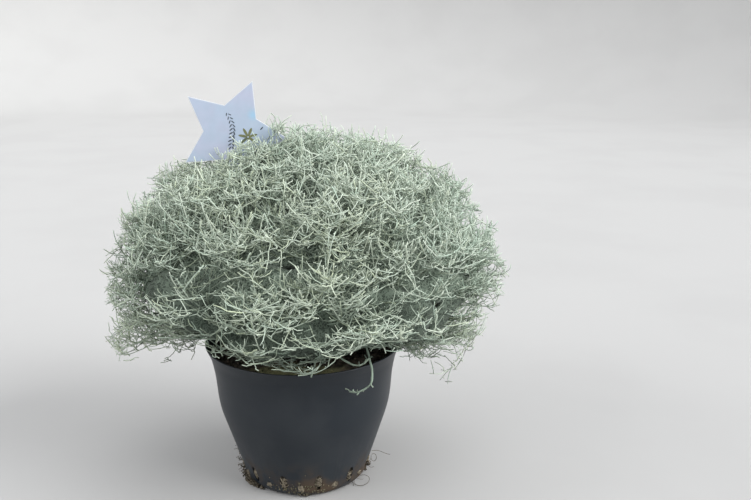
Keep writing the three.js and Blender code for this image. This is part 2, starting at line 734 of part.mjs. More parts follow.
const bush = new THREE.Group();
addMesh(bush, "pot", makePot(), material(0x3b3f44, 0.55));
addMesh(bush, "soil", makeSoil([...SPRAYS.map(stemHole), makeLabel(GAP)]), material(0x2b2620, 0.95));
addMesh(bush, "label", makeLabel(0), material(0xc3cde0, 0.6));
const labelSlot = makeLabel(LABEL_CLEARANCE);
SPRAYS.forEach((spray, i) => {
  addMesh(bush, spray.name, makeSpray(spray, labelSlot, FIRST_SEED + i), material(0xb5bfb0, 0.85));
});

export default bush;
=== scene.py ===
"""Looks of a potted cushion bush: a silver-grey mound of wiry twigs in a dark moulded nursery pot.

Shapes are worked out in millimetres in the frame's own axes: +Z up, +X to the right, -Y to the front, with
the origin at the middle of the pot's foot. Each mesh is then made in metres. A span is the pair of ends of a
random draw or of an eased step.
"""

import sys
import logging
import math
from dataclasses import dataclass, field, replace
from enum import Enum

import bpy
import numpy as np
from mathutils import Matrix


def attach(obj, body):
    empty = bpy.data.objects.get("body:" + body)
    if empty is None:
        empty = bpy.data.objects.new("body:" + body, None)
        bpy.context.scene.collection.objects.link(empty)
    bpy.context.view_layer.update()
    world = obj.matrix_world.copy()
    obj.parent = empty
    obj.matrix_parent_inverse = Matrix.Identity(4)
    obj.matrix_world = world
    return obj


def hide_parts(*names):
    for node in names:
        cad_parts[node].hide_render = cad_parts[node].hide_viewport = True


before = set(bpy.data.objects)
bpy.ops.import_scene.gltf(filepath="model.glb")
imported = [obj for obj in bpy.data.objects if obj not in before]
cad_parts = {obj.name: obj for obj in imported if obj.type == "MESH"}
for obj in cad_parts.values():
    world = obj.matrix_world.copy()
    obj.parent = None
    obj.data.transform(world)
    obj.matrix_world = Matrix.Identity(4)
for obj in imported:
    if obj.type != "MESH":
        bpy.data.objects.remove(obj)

Array = np.ndarray
Span = tuple[float, float]
Triple = tuple[float, float, float]
Material = bpy.types.Material
Piece = bpy.types.Object
Socket = bpy.types.NodeSocket

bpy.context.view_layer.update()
MILLIMETRE = 0.001
FULL_TURN = 2 * math.pi
FRONT_AZIMUTH = -math.pi / 2
GOLDEN_ANGLE = math.pi * (3 - math.sqrt(5))
UP = np.array([0.0, 0.0, 1.0])
VALUES_MAP = "OFBake"
TONE_STEP = 0.003
TONE_RISE = 0.004
HUE_TURN = 0.01
CORE_STEP = 0.0005
LOG = logging.getLogger("cushion_bush")


class Slot(Enum):
    """Material slots of the record."""

    POT = "pot_plastic"
    SOIL = "soil"
    LABEL = "label_plastic"
    TWIGS = "silver_twigs"


def dot(first: Array, second: Array) -> Array:
    """Inner products along the last axis, which stays with length 1."""
    return np.sum(first * second, axis=-1, keepdims=True)


def unit(vectors: Array) -> Array:
    """Vectors scaled to length 1 along the last axis."""
    return vectors / np.maximum(np.linalg.norm(vectors, axis=-1, keepdims=True), 1e-9)


def square_to(vectors: Array, axes: Array) -> Array:
    """Unit parts of the vectors that are square to unit axes."""
    return unit(vectors - dot(vectors, axes) * axes)


def smooth_step(low: float, high: float, values: Array) -> Array:
    """Values eased from 0 at low to 1 at high, by the cubic 3t^2 - 2t^3."""
    share = np.clip((values - low) / (high - low), 0, 1)
    return share * share * (3 - 2 * share)


def level_radius(points: Array) -> Array:
    """Distances of points from the pot's axis."""
    return np.hypot(points[..., 0], points[..., 1])


def level_direction(azimuth: Array) -> Array:
    """Level unit directions at azimuths in radians."""
    return np.stack([np.cos(azimuth), np.sin(azimuth), np.zeros_like(azimuth)], axis=-1)


def bezier(controls: list[Array], share: Array) -> Array:
    """Points of a Bezier curve at shares of its run, by repeated steps between neighbouring controls."""
    while len(controls) > 1:
        controls = [first + (second - first) * share for first, second in zip(controls, controls[1:])]
    return controls[0]


def spline(points: Array, steps: int) -> Array:
    """Smooth curve through given points, as Catmull-Rom pieces.

    Between two points it is the cubic whose slopes are half the differences of their neighbours.
    """
    padded = np.concatenate([2 * points[:1] - points[1:2], points, 2 * points[-1:] - points[-2:-1]])
    place = np.linspace(0, len(points) - 1, steps)
    piece = np.minimum(place.astype(int), len(points) - 2)
    t = (place - piece)[:, None]
    a, b, c, d = (padded[piece + i] for i in range(4))
    return 0.5 * (2 * b + (c - a) * t + (2 * a - 5 * b + 4 * c - d) * t**2 + (3 * b - a - 3 * c + d) * t**3)


def filleted(outline: Array, cuts: Array, steps: int) -> Array:
    """Open outline whose inner corners are rounded by quadratic curves.

    Each curve starts and ends at its cut's distance from the corner and is pulled towards the corner.

    Args:
        outline: points, (n, 2).
        cuts: distance for each inner corner, (n - 2,).
        steps: points on each curve.

    Returns:
        Points of the rounded outline.
    """
    before, corner, after = outline[:-2, None], outline[1:-1, None], outline[2:, None]
    start, end = (corner + unit(side - corner) * cuts[:, None, None] for side in (before, after))
    curve = bezier([start, corner, end], np.linspace(0, 1, steps)[None, :, None])
    return np.concatenate([outline[:1], curve.reshape(-1, 2), outline[-1:]])


@dataclass
class Surface:
    """Triangles of one piece.

    Attributes:
        corners: places in millimetres, (n, 3).
        faces: corner numbers, (m, 3).
        values: tone and hue of each corner, both from 0 to 1, (n, 2), or None for zeros.
    """

    corners: Array
    faces: Array
    values: Array | None = None

    def __post_init__(self) -> None:
        """Fills in the values."""
        if self.values is None:
            self.values = np.zeros((len(self.corners), 2))

    @staticmethod
    def joined(parts: list["Surface"]) -> "Surface":
        """One surface that holds all the given ones."""
        starts = np.cumsum([0] + [len(part.corners) for part in parts[:-1]])
        return Surface(
            np.concatenate([part.corners for part in parts]),
            np.concatenate([part.faces + start for part, start in zip(parts, starts)]),
            np.concatenate([part.values for part in parts]),
        )

    def to_object(self, name: str, material: Material, sharp: float = 180.0) -> Piece:
        """Makes the Blender object, in metres, with its values in a UV map.

        Args:
            name: the piece's name.
            material: its finish.
            sharp: edges that turn by more than this many degrees stay sharp.

        Returns:
            The new object, at the origin.
        """
        mesh = bpy.data.meshes.new(name)
        mesh.vertices.add(len(self.corners))
        mesh.vertices.foreach_set("co", (self.corners * MILLIMETRE).astype(np.float32).ravel())
        mesh.loops.add(self.faces.size)
        mesh.loops.foreach_set("vertex_index", self.faces.astype(np.int32).ravel())
        mesh.polygons.add(len(self.faces))
        mesh.polygons.foreach_set("loop_start", np.arange(0, self.faces.size, 3, dtype=np.int32))
        mesh.update(calc_edges=True)
        mesh.polygons.foreach_set("use_smooth", np.ones(len(self.faces), dtype=bool))
        uv_map = mesh.uv_layers.new(name=VALUES_MAP)
        uv_map.data.foreach_set("uv", self.values[self.faces.ravel()].astype(np.float32).ravel())
        mesh.validate()
        if sharp < 180.0:
            mesh.set_sharp_from_angle(angle=math.radians(sharp))
        mesh.materials.append(material)
        made = bpy.data.objects.new(name, mesh)
        bpy.context.scene.collection.objects.link(made)
        return made


def dress(piece: Piece, slot: Slot, *replaced: str) -> None:
    """Puts a finished piece on the root body and hides the nodes that it stands for."""
    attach(piece, "root")
    if replaced:
        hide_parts(*replaced)
    LOG.info("%s: %d triangles", piece.name, len(piece.data.polygons))


def grid_faces(rows: int, columns: int) -> Array:
    """Two triangles for each cell between rings of corners, whose numbers run along a ring first."""
    row = np.arange(rows - 1)[:, None] * columns
    column = np.arange(columns)[None, :]
    following = (column + 1) % columns
    a, b, c, d = row + column, row + following, row + following + columns, row + column + columns
    return np.concatenate([np.stack([a, b, c], -1).reshape(-1, 3), np.stack([a, c, d], -1).reshape(-1, 3)])


def capped_faces(rows: int, columns: int) -> Array:
    """Faces of rings that a pole closes at each end, with both poles numbered after the rings."""
    column = np.arange(columns)
    following = (column + 1) % columns
    last, pole = (rows - 1) * columns, np.full(columns, rows * columns)
    return np.concatenate([
        grid_faces(rows, columns),
        np.stack([pole, following, column], -1),
        np.stack([last + column, last + following, pole + 1], -1),
    ])


def tube_faces(rows: int, columns: int) -> Array:
    """Faces of rings that a flat fan closes at each end."""
    fan = np.arange(1, columns - 1)
    return np.concatenate([
        grid_faces(rows, columns),
        np.stack([0 * fan, fan + 1, fan], -1),
        np.stack([0 * fan, fan, fan + 1], -1) + (rows - 1) * columns,
    ])


def tubes(points: Array, radii: Array, axes: Array, sides: int, tones: Array, hues: Array) -> Surface:
    """Closed tubes along many curves at once.

    Each ring is a regular polygon square to its curve. The ring's first axis is the given axis made square to
    the curve, and its second is the cross product of the two. A flat cap closes each end. Small steps of tone
    and hue from corner to corner give each face some area in the UV map.

    Args:
        points: curves, (count, steps, 3).
        radii: radius at each point, (count, steps).
        axes: a direction across each curve, (count, 3).
        sides: corners of a ring.
        tones: tone at each point, (count, steps).
        hues: hue of each curve, (count,).

    Returns:
        All tubes as one surface.
    """
    count, steps = radii.shape
    along = unit(np.gradient(points, axis=1))
    first = square_to(axes[:, None], along)[:, :, None]
    second = np.cross(along, first[:, :, 0])[:, :, None]
    side = np.arange(sides)
    angle = (FULL_TURN * side / sides)[:, None]
    corners = points[:, :, None] + radii[:, :, None, None] * (first * np.cos(angle) + second * np.sin(angle))
    faces = tube_faces(steps, sides) + (np.arange(count) * steps * sides)[:, None, None]
    tone = tones[:, :, None] + TONE_STEP * (side % 2) + TONE_RISE * np.linspace(0, 1, steps)[:, None]
    hue = hues[:, None, None] + HUE_TURN * side / sides + np.zeros((1, steps, 1))
    values = np.clip(np.stack([tone, hue], -1), 0, 1)
    return Surface(corners.reshape(-1, 3), faces.reshape(-1, 3), values.reshape(-1, 2))


def revolved(profile: Array, sides: int) -> Surface:
    """Solid of revolution about the pot's axis.

    The first and last profile points lie on the axis and become poles, and each other point becomes a ring.

    Args:
        profile: radius and height of each point, (n, 2), upwards on the outer side.
        sides: corners of a ring.

    Returns:
        The closed surface.
    """
    rings = profile[1:-1, None]
    corners = rings[..., :1] * level_direction(FULL_TURN * np.arange(sides) / sides) + rings[..., 1:] * UP
    poles = profile[[0, -1], 1:] * UP
    return Surface(np.concatenate([corners.reshape(-1, 3), poles]), capped_faces(len(rings), sides))


@dataclass(frozen=True)
class Star:
    """Plant label: a thin star that lies on its side, and its stake."""

    centre: Triple = (-63.0, -4.0, 348.0)
    radius: float = 53.0
    inner_share: float = 0.51
    turn: float = math.radians(67)
    thickness: float = 0.8
    stake_width: float = 7.0
    stake_length: float = 248.0
    points: int = 5

    def edge(self, angle: Array) -> Array:
        """Distance from the centre to the star's edge at an angle.

        The angle is folded into one half point, where the edge is the straight line from the outer corner to
        the inner one.
        """
        half = math.pi / self.points
        folded = np.abs((angle - self.turn + half) % (2 * half) - half)
        inner = self.radius * self.inner_share
        inner_x, inner_y = inner * math.cos(half), inner * math.sin(half)
        return inner_y * self.radius / (inner_y * np.cos(folded) - (inner_x - self.radius) * np.sin(folded))

    def clear(self, points: Array, gap: float) -> Array:
        """Points moved off the label's plane, to the side that their curve starts on.

        Args:
            points: curves, (count, steps, 3).
            gap: distance to keep from the plane within the star and its stake.

        Returns:
            The moved points.
        """
        x, z = points[..., 0] - self.centre[0], points[..., 2] - self.centre[2]
        off = points[..., 1] - self.centre[1]
        in_star = np.hypot(x, z) < self.edge(np.arctan2(z, x)) + gap
        heading = self.turn - 4 * math.pi / self.points
        run = x * math.cos(heading) + z * math.sin(heading)
        aside = np.abs(z * math.cos(heading) - x * math.sin(heading))
        in_stake = (run > 0) & (run < self.stake_length) & (aside < self.stake_width / 2 + gap)
        sign = np.where(off[:, :1] >= 0, 1.0, -1.0)
        near = (in_star | in_stake) & (off * sign < gap)
        moved = points.copy()
        moved[..., 1] = np.where(near, self.centre[1] + sign * gap, points[..., 1])
        return moved


@dataclass(frozen=True)
class Swelling:
    """Soft bulge of the outline in one direction, or a dip where its amount is negative."""

    towards: Triple
    amount: float
    spread: float

    def at(self, directions: Array) -> Array:
        """Share added to the reach: the amount times exp of minus the squared distance over the spread."""
        away = np.linalg.norm(directions - unit(np.array(self.towards)), axis=-1)
        return self.amount * np.exp(-((away / self.spread) ** 2))


@dataclass(frozen=True)
class BushForm:
    """Outer form of the bush: an ellipsoid with soft lumps, cut off below by a skirt round the pot.

    Attributes:
        crown: where directions start.
        centre, radii: the ellipsoid.
        lump: depth of the lumps, as a share of the reach.
        swellings: dip behind the label, shoulder beside it, waist and flare at the left, taper at the right.
        skirt_front, skirt_back, skirt_left, skirt_right: the skirt's height on each side.
        front_slope: rise of the skirt towards the front.
        inner_rim, outer_rim: where the skirt is lifted over the rim and let down again, from the rim.
        thin_left, thin_right: height at the rim and slope of the edge of the dense foliage.
        side_span: how far to a side that edge counts.
        thinning, wisp_thinning: share of the twigs missing below it, for plain twigs and for wisps.
        thin_rise, thin_depth: distance out from the rim and depth at the edge over which they thin out.
        wisp_drop, hanging_drop: least drop of a wisp and of a hanging twig.
        front_gaps, gap_span: share of the twigs missing low in front, and up to where above the skirt.
        low_span, sparse_span: height above the skirt and above that edge up to which twigs are lit.
        low_light, front_shade: how open they are there, and how much less so in front.
        lit_span: shares of the reach between which twigs come into the light.
        stem_span: radii between which the stems end.
        far_radius: radius past which twigs may hang below the skirt.
        soft_edge: width of the soft floor.
        wall_band: how far inside the rim low points are still moved out past it.
        limit_from: share of the reach at which curves start to be held back.
        core_floor: lowest height of the core.
    """

    crown: Triple = (0.0, 0.0, 108.0)
    centre: Triple = (0.0, 0.0, 198.0)
    radii: Triple = (206.0, 186.0, 162.0)
    lump: float = 0.018
    swellings: tuple[Swelling, ...] = (
        Swelling((-84.0, -10.0, 222.0), -0.055, 0.2),
        Swelling((-20.0, -8.0, 240.0), 0.03, 0.17),
        Swelling((-180.0, -30.0, 50.0), -0.06, 0.4),
        Swelling((-200.0, -20.0, 4.0), 0.12, 0.22),
        Swelling((200.0, -20.0, 8.0), -0.16, 0.3),
    )
    skirt_front: float = 109.0
    skirt_back: float = 126.0
    skirt_left: float = 134.0
    skirt_right: float = 124.0
    front_slope: float = 0.39
    inner_rim: Span = (-16.0, -6.0)
    outer_rim: Span = (4.0, 14.0)
    thin_left: Span = (150.0, 0.58)
    thin_right: Span = (121.0, 0.68)
    side_span: Span = (0.3, 0.75)
    thinning: float = 0.95
    wisp_drop: float = 12.0
    wisp_thinning: float = 0.45
    thin_rise: float = 26.0
    thin_depth: Span = (6.0, -8.0)
    front_gaps: float = 0.22
    gap_span: Span = (44.0, 12.0)
    low_span: Span = (26.0, 5.0)
    sparse_span: Span = (24.0, 0.0)
    low_light: float = 0.62
    front_shade: float = 0.46
    lit_span: Span = (0.7, 1.0)
    hanging_drop: float = 50.0
    rim_radius: float = 97.5
    rim_height: float = 143.0
    rim_gap: float = 5.0
    far_radius: float = 122.0
    soil_floor: float = 139.0
    stem_span: Span = (66.0, 96.0)
    soft_edge: float = 3.0
    wall_band: float = 14.0
    limit_from: float = 0.9
    core_floor: float = 153.0

    def reach(self, directions: Array) -> Array:
        """Distances from the crown to the outline.

        This is where a ray from the crown meets the ellipsoid, times soft lumps and the swellings.
        """
        start = (np.array(self.crown) - self.centre) / self.radii
        step = directions / self.radii
        a, b = np.sum(step * step, -1), step @ start
        plain = (np.sqrt(b * b - a * (start @ start - 1)) - b) / a
        x, y, z = np.moveaxis(directions, -1, 0)
        lumps = np.sin(6.1 * x + 2.0 * y + 0.6) * np.cos(5.3 * z - 1.7 * y) + 0.6 * np.sin(9.7 * y + 7.9 * z)
        return plain * (1 + self.lump * lumps + sum(one.at(directions) for one in self.swellings))

    def share(self, points: Array) -> Array:
        """How far out points lie: 0 at the crown and 1 on the outline."""
        outward = points - self.crown
        return np.linalg.norm(outward, axis=-1) / self.reach(unit(outward))

    def skirt(self, points: Array) -> Array:
        """Lowest height of the foliage at each place.

        It is eased round the pot from side to side, rises towards the front and clears the rim and the soil.
        """
        level = unit(points * (1, 1, 0))
        side = self.skirt_left + (self.skirt_right - self.skirt_left) * smooth_step(-1, 1, level[..., 0])
        around = side + (self.skirt_back - side) * smooth_step(0, 1, level[..., 1])
        height = around + (self.skirt_front - around) * smooth_step(0.87, 1, -level[..., 1])
        height = height + self.front_slope * np.maximum(-points[..., 1], 0)
        from_rim = level_radius(points) - self.rim_radius
        rise = (self.rim_height + self.rim_gap - self.soil_floor) * smooth_step(*self.inner_rim, from_rim)
        return np.maximum(height, (self.soil_floor + rise) * (1 - smooth_step(*self.outer_rim, from_rim)))

    def thin_edge(self, points: Array) -> tuple[Array, Array]:
        """Height below which the foliage is sparse, and how much a place belongs to the sparse sides.

        On the left and right it is a straight line that rises outwards from the rim, and elsewhere the skirt.
        """
        radius = level_radius(points)
        across = points[..., 0] / radius
        left, right = (smooth_step(*self.side_span, side) for side in (-across, across))
        out = np.maximum(radius - self.rim_radius, 0)
        height = (
            left * (self.thin_left[0] + self.thin_left[1] * out)
            + right * (self.thin_right[0] + self.thin_right[1] * out)
            + (1 - left - right) * self.skirt(points)
        )
        return height, left + right

    def sparseness(self, points: Array, drop: Array) -> Array:
        """Share of the twigs that are missing at each place.

        They thin out below the dense foliage on the sides, less so where they hang by themselves, and some
        are missing low in front, which leaves dark gaps.
        """
        edge, sides = self.thin_edge(points)
        share = np.where(drop < self.wisp_drop, self.thinning, self.wisp_thinning)
        radius = level_radius(points)
        out = smooth_step(self.rim_radius, self.rim_radius + self.thin_rise, radius)
        below = share * sides * out * smooth_step(*self.thin_depth, points[..., 2] - edge)
        in_front = smooth_step(0.4, 0.9, -points[..., 1] / radius) * (drop < self.hanging_drop)
        gaps = self.front_gaps * in_front * smooth_step(*self.gap_span, points[..., 2] - self.skirt(points))
        return np.maximum(below, gaps)

    def floor(self, points: Array, drop: Array) -> Array:
        """Lowest height that foliage reaches.

        Twigs with a negative drop stay above the skirt. The others hang below it only well outside the rim,
        apart from those with the drop of a hanging twig.
        """
        far = smooth_step(self.rim_radius, self.far_radius, level_radius(points))
        return self.skirt(points) - drop * np.maximum(far, (drop < 0) | (drop > self.hanging_drop))

    def lowness(self, points: Array) -> Array:
        """1 just above the skirt, away from the stems, and 0 higher up."""
        outside = smooth_step(*self.stem_span, level_radius(points))
        return smooth_step(*self.low_span, points[..., 2] - self.skirt(points)) * outside

    def openness(self, points: Array) -> Array:
        """How open to the light points lie: near the outline, low down, or where twigs are sparse."""
        radius = level_radius(points)
        in_front = smooth_step(0.3, 0.9, -points[..., 1] / np.maximum(radius, 1))
        under = (self.low_light - self.front_shade * in_front) * self.lowness(points)
        edge, sides = self.thin_edge(points)
        outside = smooth_step(*self.stem_span, radius)
        sparse = self.low_light * sides * smooth_step(*self.sparse_span, points[..., 2] - edge) * outside
        return np.maximum(smooth_step(*self.lit_span, self.share(points)), np.maximum(under, sparse))

    def hold(self, points: Array, loose: Array, drop: Array, is_core: bool = False) -> Array:
        """Curves eased back inside the outline and up above their floor.

        Past a share of the reach, the distance from the crown tends exponentially to its limit. Near the
        floor the height follows w log(1 + exp(height / w)). Last, low points near the rim move out past it.

        Args:
            points: curves, (count, steps, 3).
            loose: how far each curve may stand past the outline, as a share, (count,).
            drop: how far each curve may hang below the skirt, (count,).
            is_core: whether the floor is the edge of the dense foliage, or the core's own floor where that
                is higher.

        Returns:
            The moved points.
        """
        outward = points - self.crown
        share = self.share(points)
        room = (1 + loose - self.limit_from)[:, None]
        eased = self.limit_from + room * (1 - np.exp(-np.maximum(share - self.limit_from, 0) / room))
        held = self.crown + outward * (np.where(share > self.limit_from, eased, share) / share)[..., None]
        drop = drop[:, None]
        if is_core:
            dense_edge = np.maximum(self.thin_edge(held)[0], self.skirt(held)) - drop
            floor = np.maximum(dense_edge, self.core_floor)
        else:
            floor = self.floor(held, drop)
        held[..., 2] = floor + self.soft_edge * np.logaddexp(0, (held[..., 2] - floor) / self.soft_edge)
        radius = level_radius(held)
        is_low = held[..., 2] < self.rim_height + self.rim_gap
        near_wall = is_low & (radius > self.rim_radius - self.wall_band)
        wanted = np.where(near_wall, np.maximum(radius, self.rim_radius + self.rim_gap), radius)
        held[..., :2] *= (wanted / radius)[..., None]
        return held


@dataclass(frozen=True)
class Spray:
    """One stem's share of the bush: the cell of directions that lie nearest to its middle."""

    name: str
    azimuth: float
    middle: Array
    hole: Array

    def side(self) -> Array:
        """Level direction across the spray."""
        return np.array([-math.sin(self.azimuth), math.cos(self.azimuth), 0.0])


@dataclass(frozen=True)
class SprayRing:
    """Ring of sprays round the crown, lifted towards the front, with angles in degrees."""

    name: str
    count: int
    elevation: float
    lift: float
    hole_radius: float

    def sprays(self) -> list[Spray]:
        """Sprays of the ring, evenly round the crown."""
        made = []
        for i in range(self.count):
            azimuth = FRONT_AZIMUTH + FULL_TURN * (i + 0.5) / self.count
            level = level_direction(np.float64(azimuth))
            raised = math.radians(self.elevation + self.lift * max(0.0, -level[1]) ** 2)
            middle = math.cos(raised) * level + math.sin(raised) * UP
            made.append(Spray(f"{self.name}_{i + 1}", azimuth, middle, level * self.hole_radius))
        return made


SPRAY_RINGS = (
    SprayRing("spray_top", 1, 90, 0, 0),
    SprayRing("spray_middle", 4, 51, 10, 21),
    SprayRing("spray_low", 7, 15, 20, 48),
)
BELOW_RING = SprayRing("below", 7, -1, 19, 0)


@dataclass(frozen=True)
class Habit:
    """How one order of twigs grows out of the orders before it.

    Attributes:
        steps: points along a twig.
        radii: radii at even steps from root to tip.
        loose: how far past the outline they may stand, as a share.
        kink: sideways wander of each point.
        shade: added to their tone.
        spacing: length of parent for each twig.
        start: where on their parent they start, as shares of its length.
        splay: angle from the parent, in degrees.
        length: length from root to tip.
        curl: how far they bend over their length.
        twist: spread of the turn out of the bend's plane.
        outward: pull of the heading away from the crown.
        rise: pull of the heading upwards.
        lift: pull of the bend upwards.
        comb: how strictly they stand to the left and right of their parent in turn.
        sides: corners of a ring.
        least_height: lowest height at which they grow.
    """

    steps: int
    radii: tuple[float, ...]
    loose: Span
    kink: float
    shade: float = 0.0
    spacing: float = 0.0
    start: Span = (0.0, 1.0)
    splay: Span = (0.0, 0.0)
    length: Span = (0.0, 0.0)
    curl: Span = (0.0, 0.0)
    twist: float = 0.0
    outward: float = 0.0
    rise: float = 0.0
    lift: float = 0.0
    comb: float = 0.5
    sides: int = 3
    least_height: float = 0.0


MAIN_TWIGS = Habit(steps=9, radii=(1.5, 1.0, 0.56), loose=(0.0, 0.02), kink=0.6)
WISP_TWIGS = replace(MAIN_TWIGS, radii=(0.8, 0.5, 0.36), shade=0.14)
HANGING_TWIGS = replace(MAIN_TWIGS, steps=24, radii=(1.15, 1.1, 1.05, 0.95, 0.9), kink=0.12, shade=0.14)
ARC_TWIGS = Habit(
    steps=8, radii=(0.62, 0.56, 0.52, 0.48, 0.44), loose=(-0.02, 0.03), kink=0.5, shade=0.05, spacing=44,
    start=(0.6, 0.97), splay=(40, 90), length=(24, 54), curl=(0.5, 1.4), twist=0.3, outward=0.15, rise=-0.1,
    lift=1.2, comb=0.3,
)
SIDE_TWIGS = Habit(
    steps=6, radii=(0.54, 0.5, 0.46, 0.43, 0.4), loose=(0.0, 0.05), kink=0.5, spacing=3.65, start=(0.6, 1.0),
    splay=(62, 104), length=(9, 30), curl=(0.3, 1.1), twist=0.3, outward=0.25, rise=-0.05, lift=0.9,
)
TIP_TWIGS = Habit(
    steps=4, radii=(0.42, 0.39, 0.39, 0.3), loose=(0.01, 0.06), kink=0.35, spacing=7.9, start=(0.05, 1.0),
    splay=(38, 82), length=(5, 16), curl=(0.3, 1.1), twist=0.3, outward=0.2, lift=0.7,
)
SPIRES = Habit(
    steps=5, radii=(0.5, 0.46, 0.44, 0.46, 0.5), loose=(0.06, 0.15), kink=0.3, shade=0.04, spacing=84,
    start=(0.3, 1.0), splay=(10, 60), length=(16, 34), curl=(0.0, 0.5), twist=0.2, outward=0.9, rise=1.6,
    lift=1.0, comb=0, least_height=235,
)
SPURS = Habit(
    steps=3, radii=(0.38, 0.32, 0.48), loose=(0.02, 0.11), kink=0.0, shade=0.06, spacing=38, start=(0.1, 1.0),
    splay=(45, 85), length=(2.2, 4.8), curl=(0.0, 0.6), twist=0.2, outward=0.2, rise=0.1, lift=0.3,
)
SPIRE_SPURS = replace(SPURS, spacing=6.5)
HANGING_SPURS = replace(
    SPURS, radii=(0.7, 0.62, 0.8), spacing=5.5, start=(0.55, 1.0), splay=(50, 90), length=(3.0, 7.0)
)
HANGING_ROUTES = (
    ("spray_low_1", ((56, -78, 184), (62, -90, 174), (67, -95, 157), (69, -95, 146), (68, -95, 135),
                     (62, -95, 129), (55, -95, 126), (48, -95, 127))),
    ("spray_low_1", ((26, -92, 182), (22, -104, 172), (18, -108, 156), (15, -108, 146))),
    ("spray_low_7", ((-26, -90, 182), (-18, -104, 170), (-9, -108, 157), (-3, -107, 151))),
    ("spray_low_1", ((30, -92, 176), (38, -104, 166), (52, -108, 158), (61, -106, 158), (67, -102, 163))),
    ("spray_low_7", ((-48, -84, 176), (-40, -94, 166), (-32, -98, 157), (-22, -99, 153))),
)


@dataclass
class Twigs:
    """Many curves of one order.

    Attributes:
        points: (count, steps, 3).
        radii: (count, steps).
        axes: a direction across each curve, (count, 3).
        owner: number of each curve's spray, (count,).
        hue: (count,).
        shade: added to each curve's tone, (count,).
        drop: how far each curve may hang below the skirt, (count,).
        sides: corners of a ring.
    """

    points: Array
    radii: Array
    axes: Array
    owner: Array
    hue: Array
    shade: Array
    drop: Array
    sides: int

    def lengths(self) -> Array:
        """Length of each curve."""
        return np.linalg.norm(np.diff(self.points, axis=1), axis=-1).sum(axis=1)

    def at(self, curve: Array, share: Array) -> tuple[Array, Array]:
        """Places and unit tangents on chosen curves at shares of their length."""
        place = share * (self.points.shape[1] - 1)
        step = np.minimum(place.astype(int), self.points.shape[1] - 2)
        start, end = self.points[curve, step], self.points[curve, step + 1]
        return start + (end - start) * (place - step)[:, None], unit(end - start)


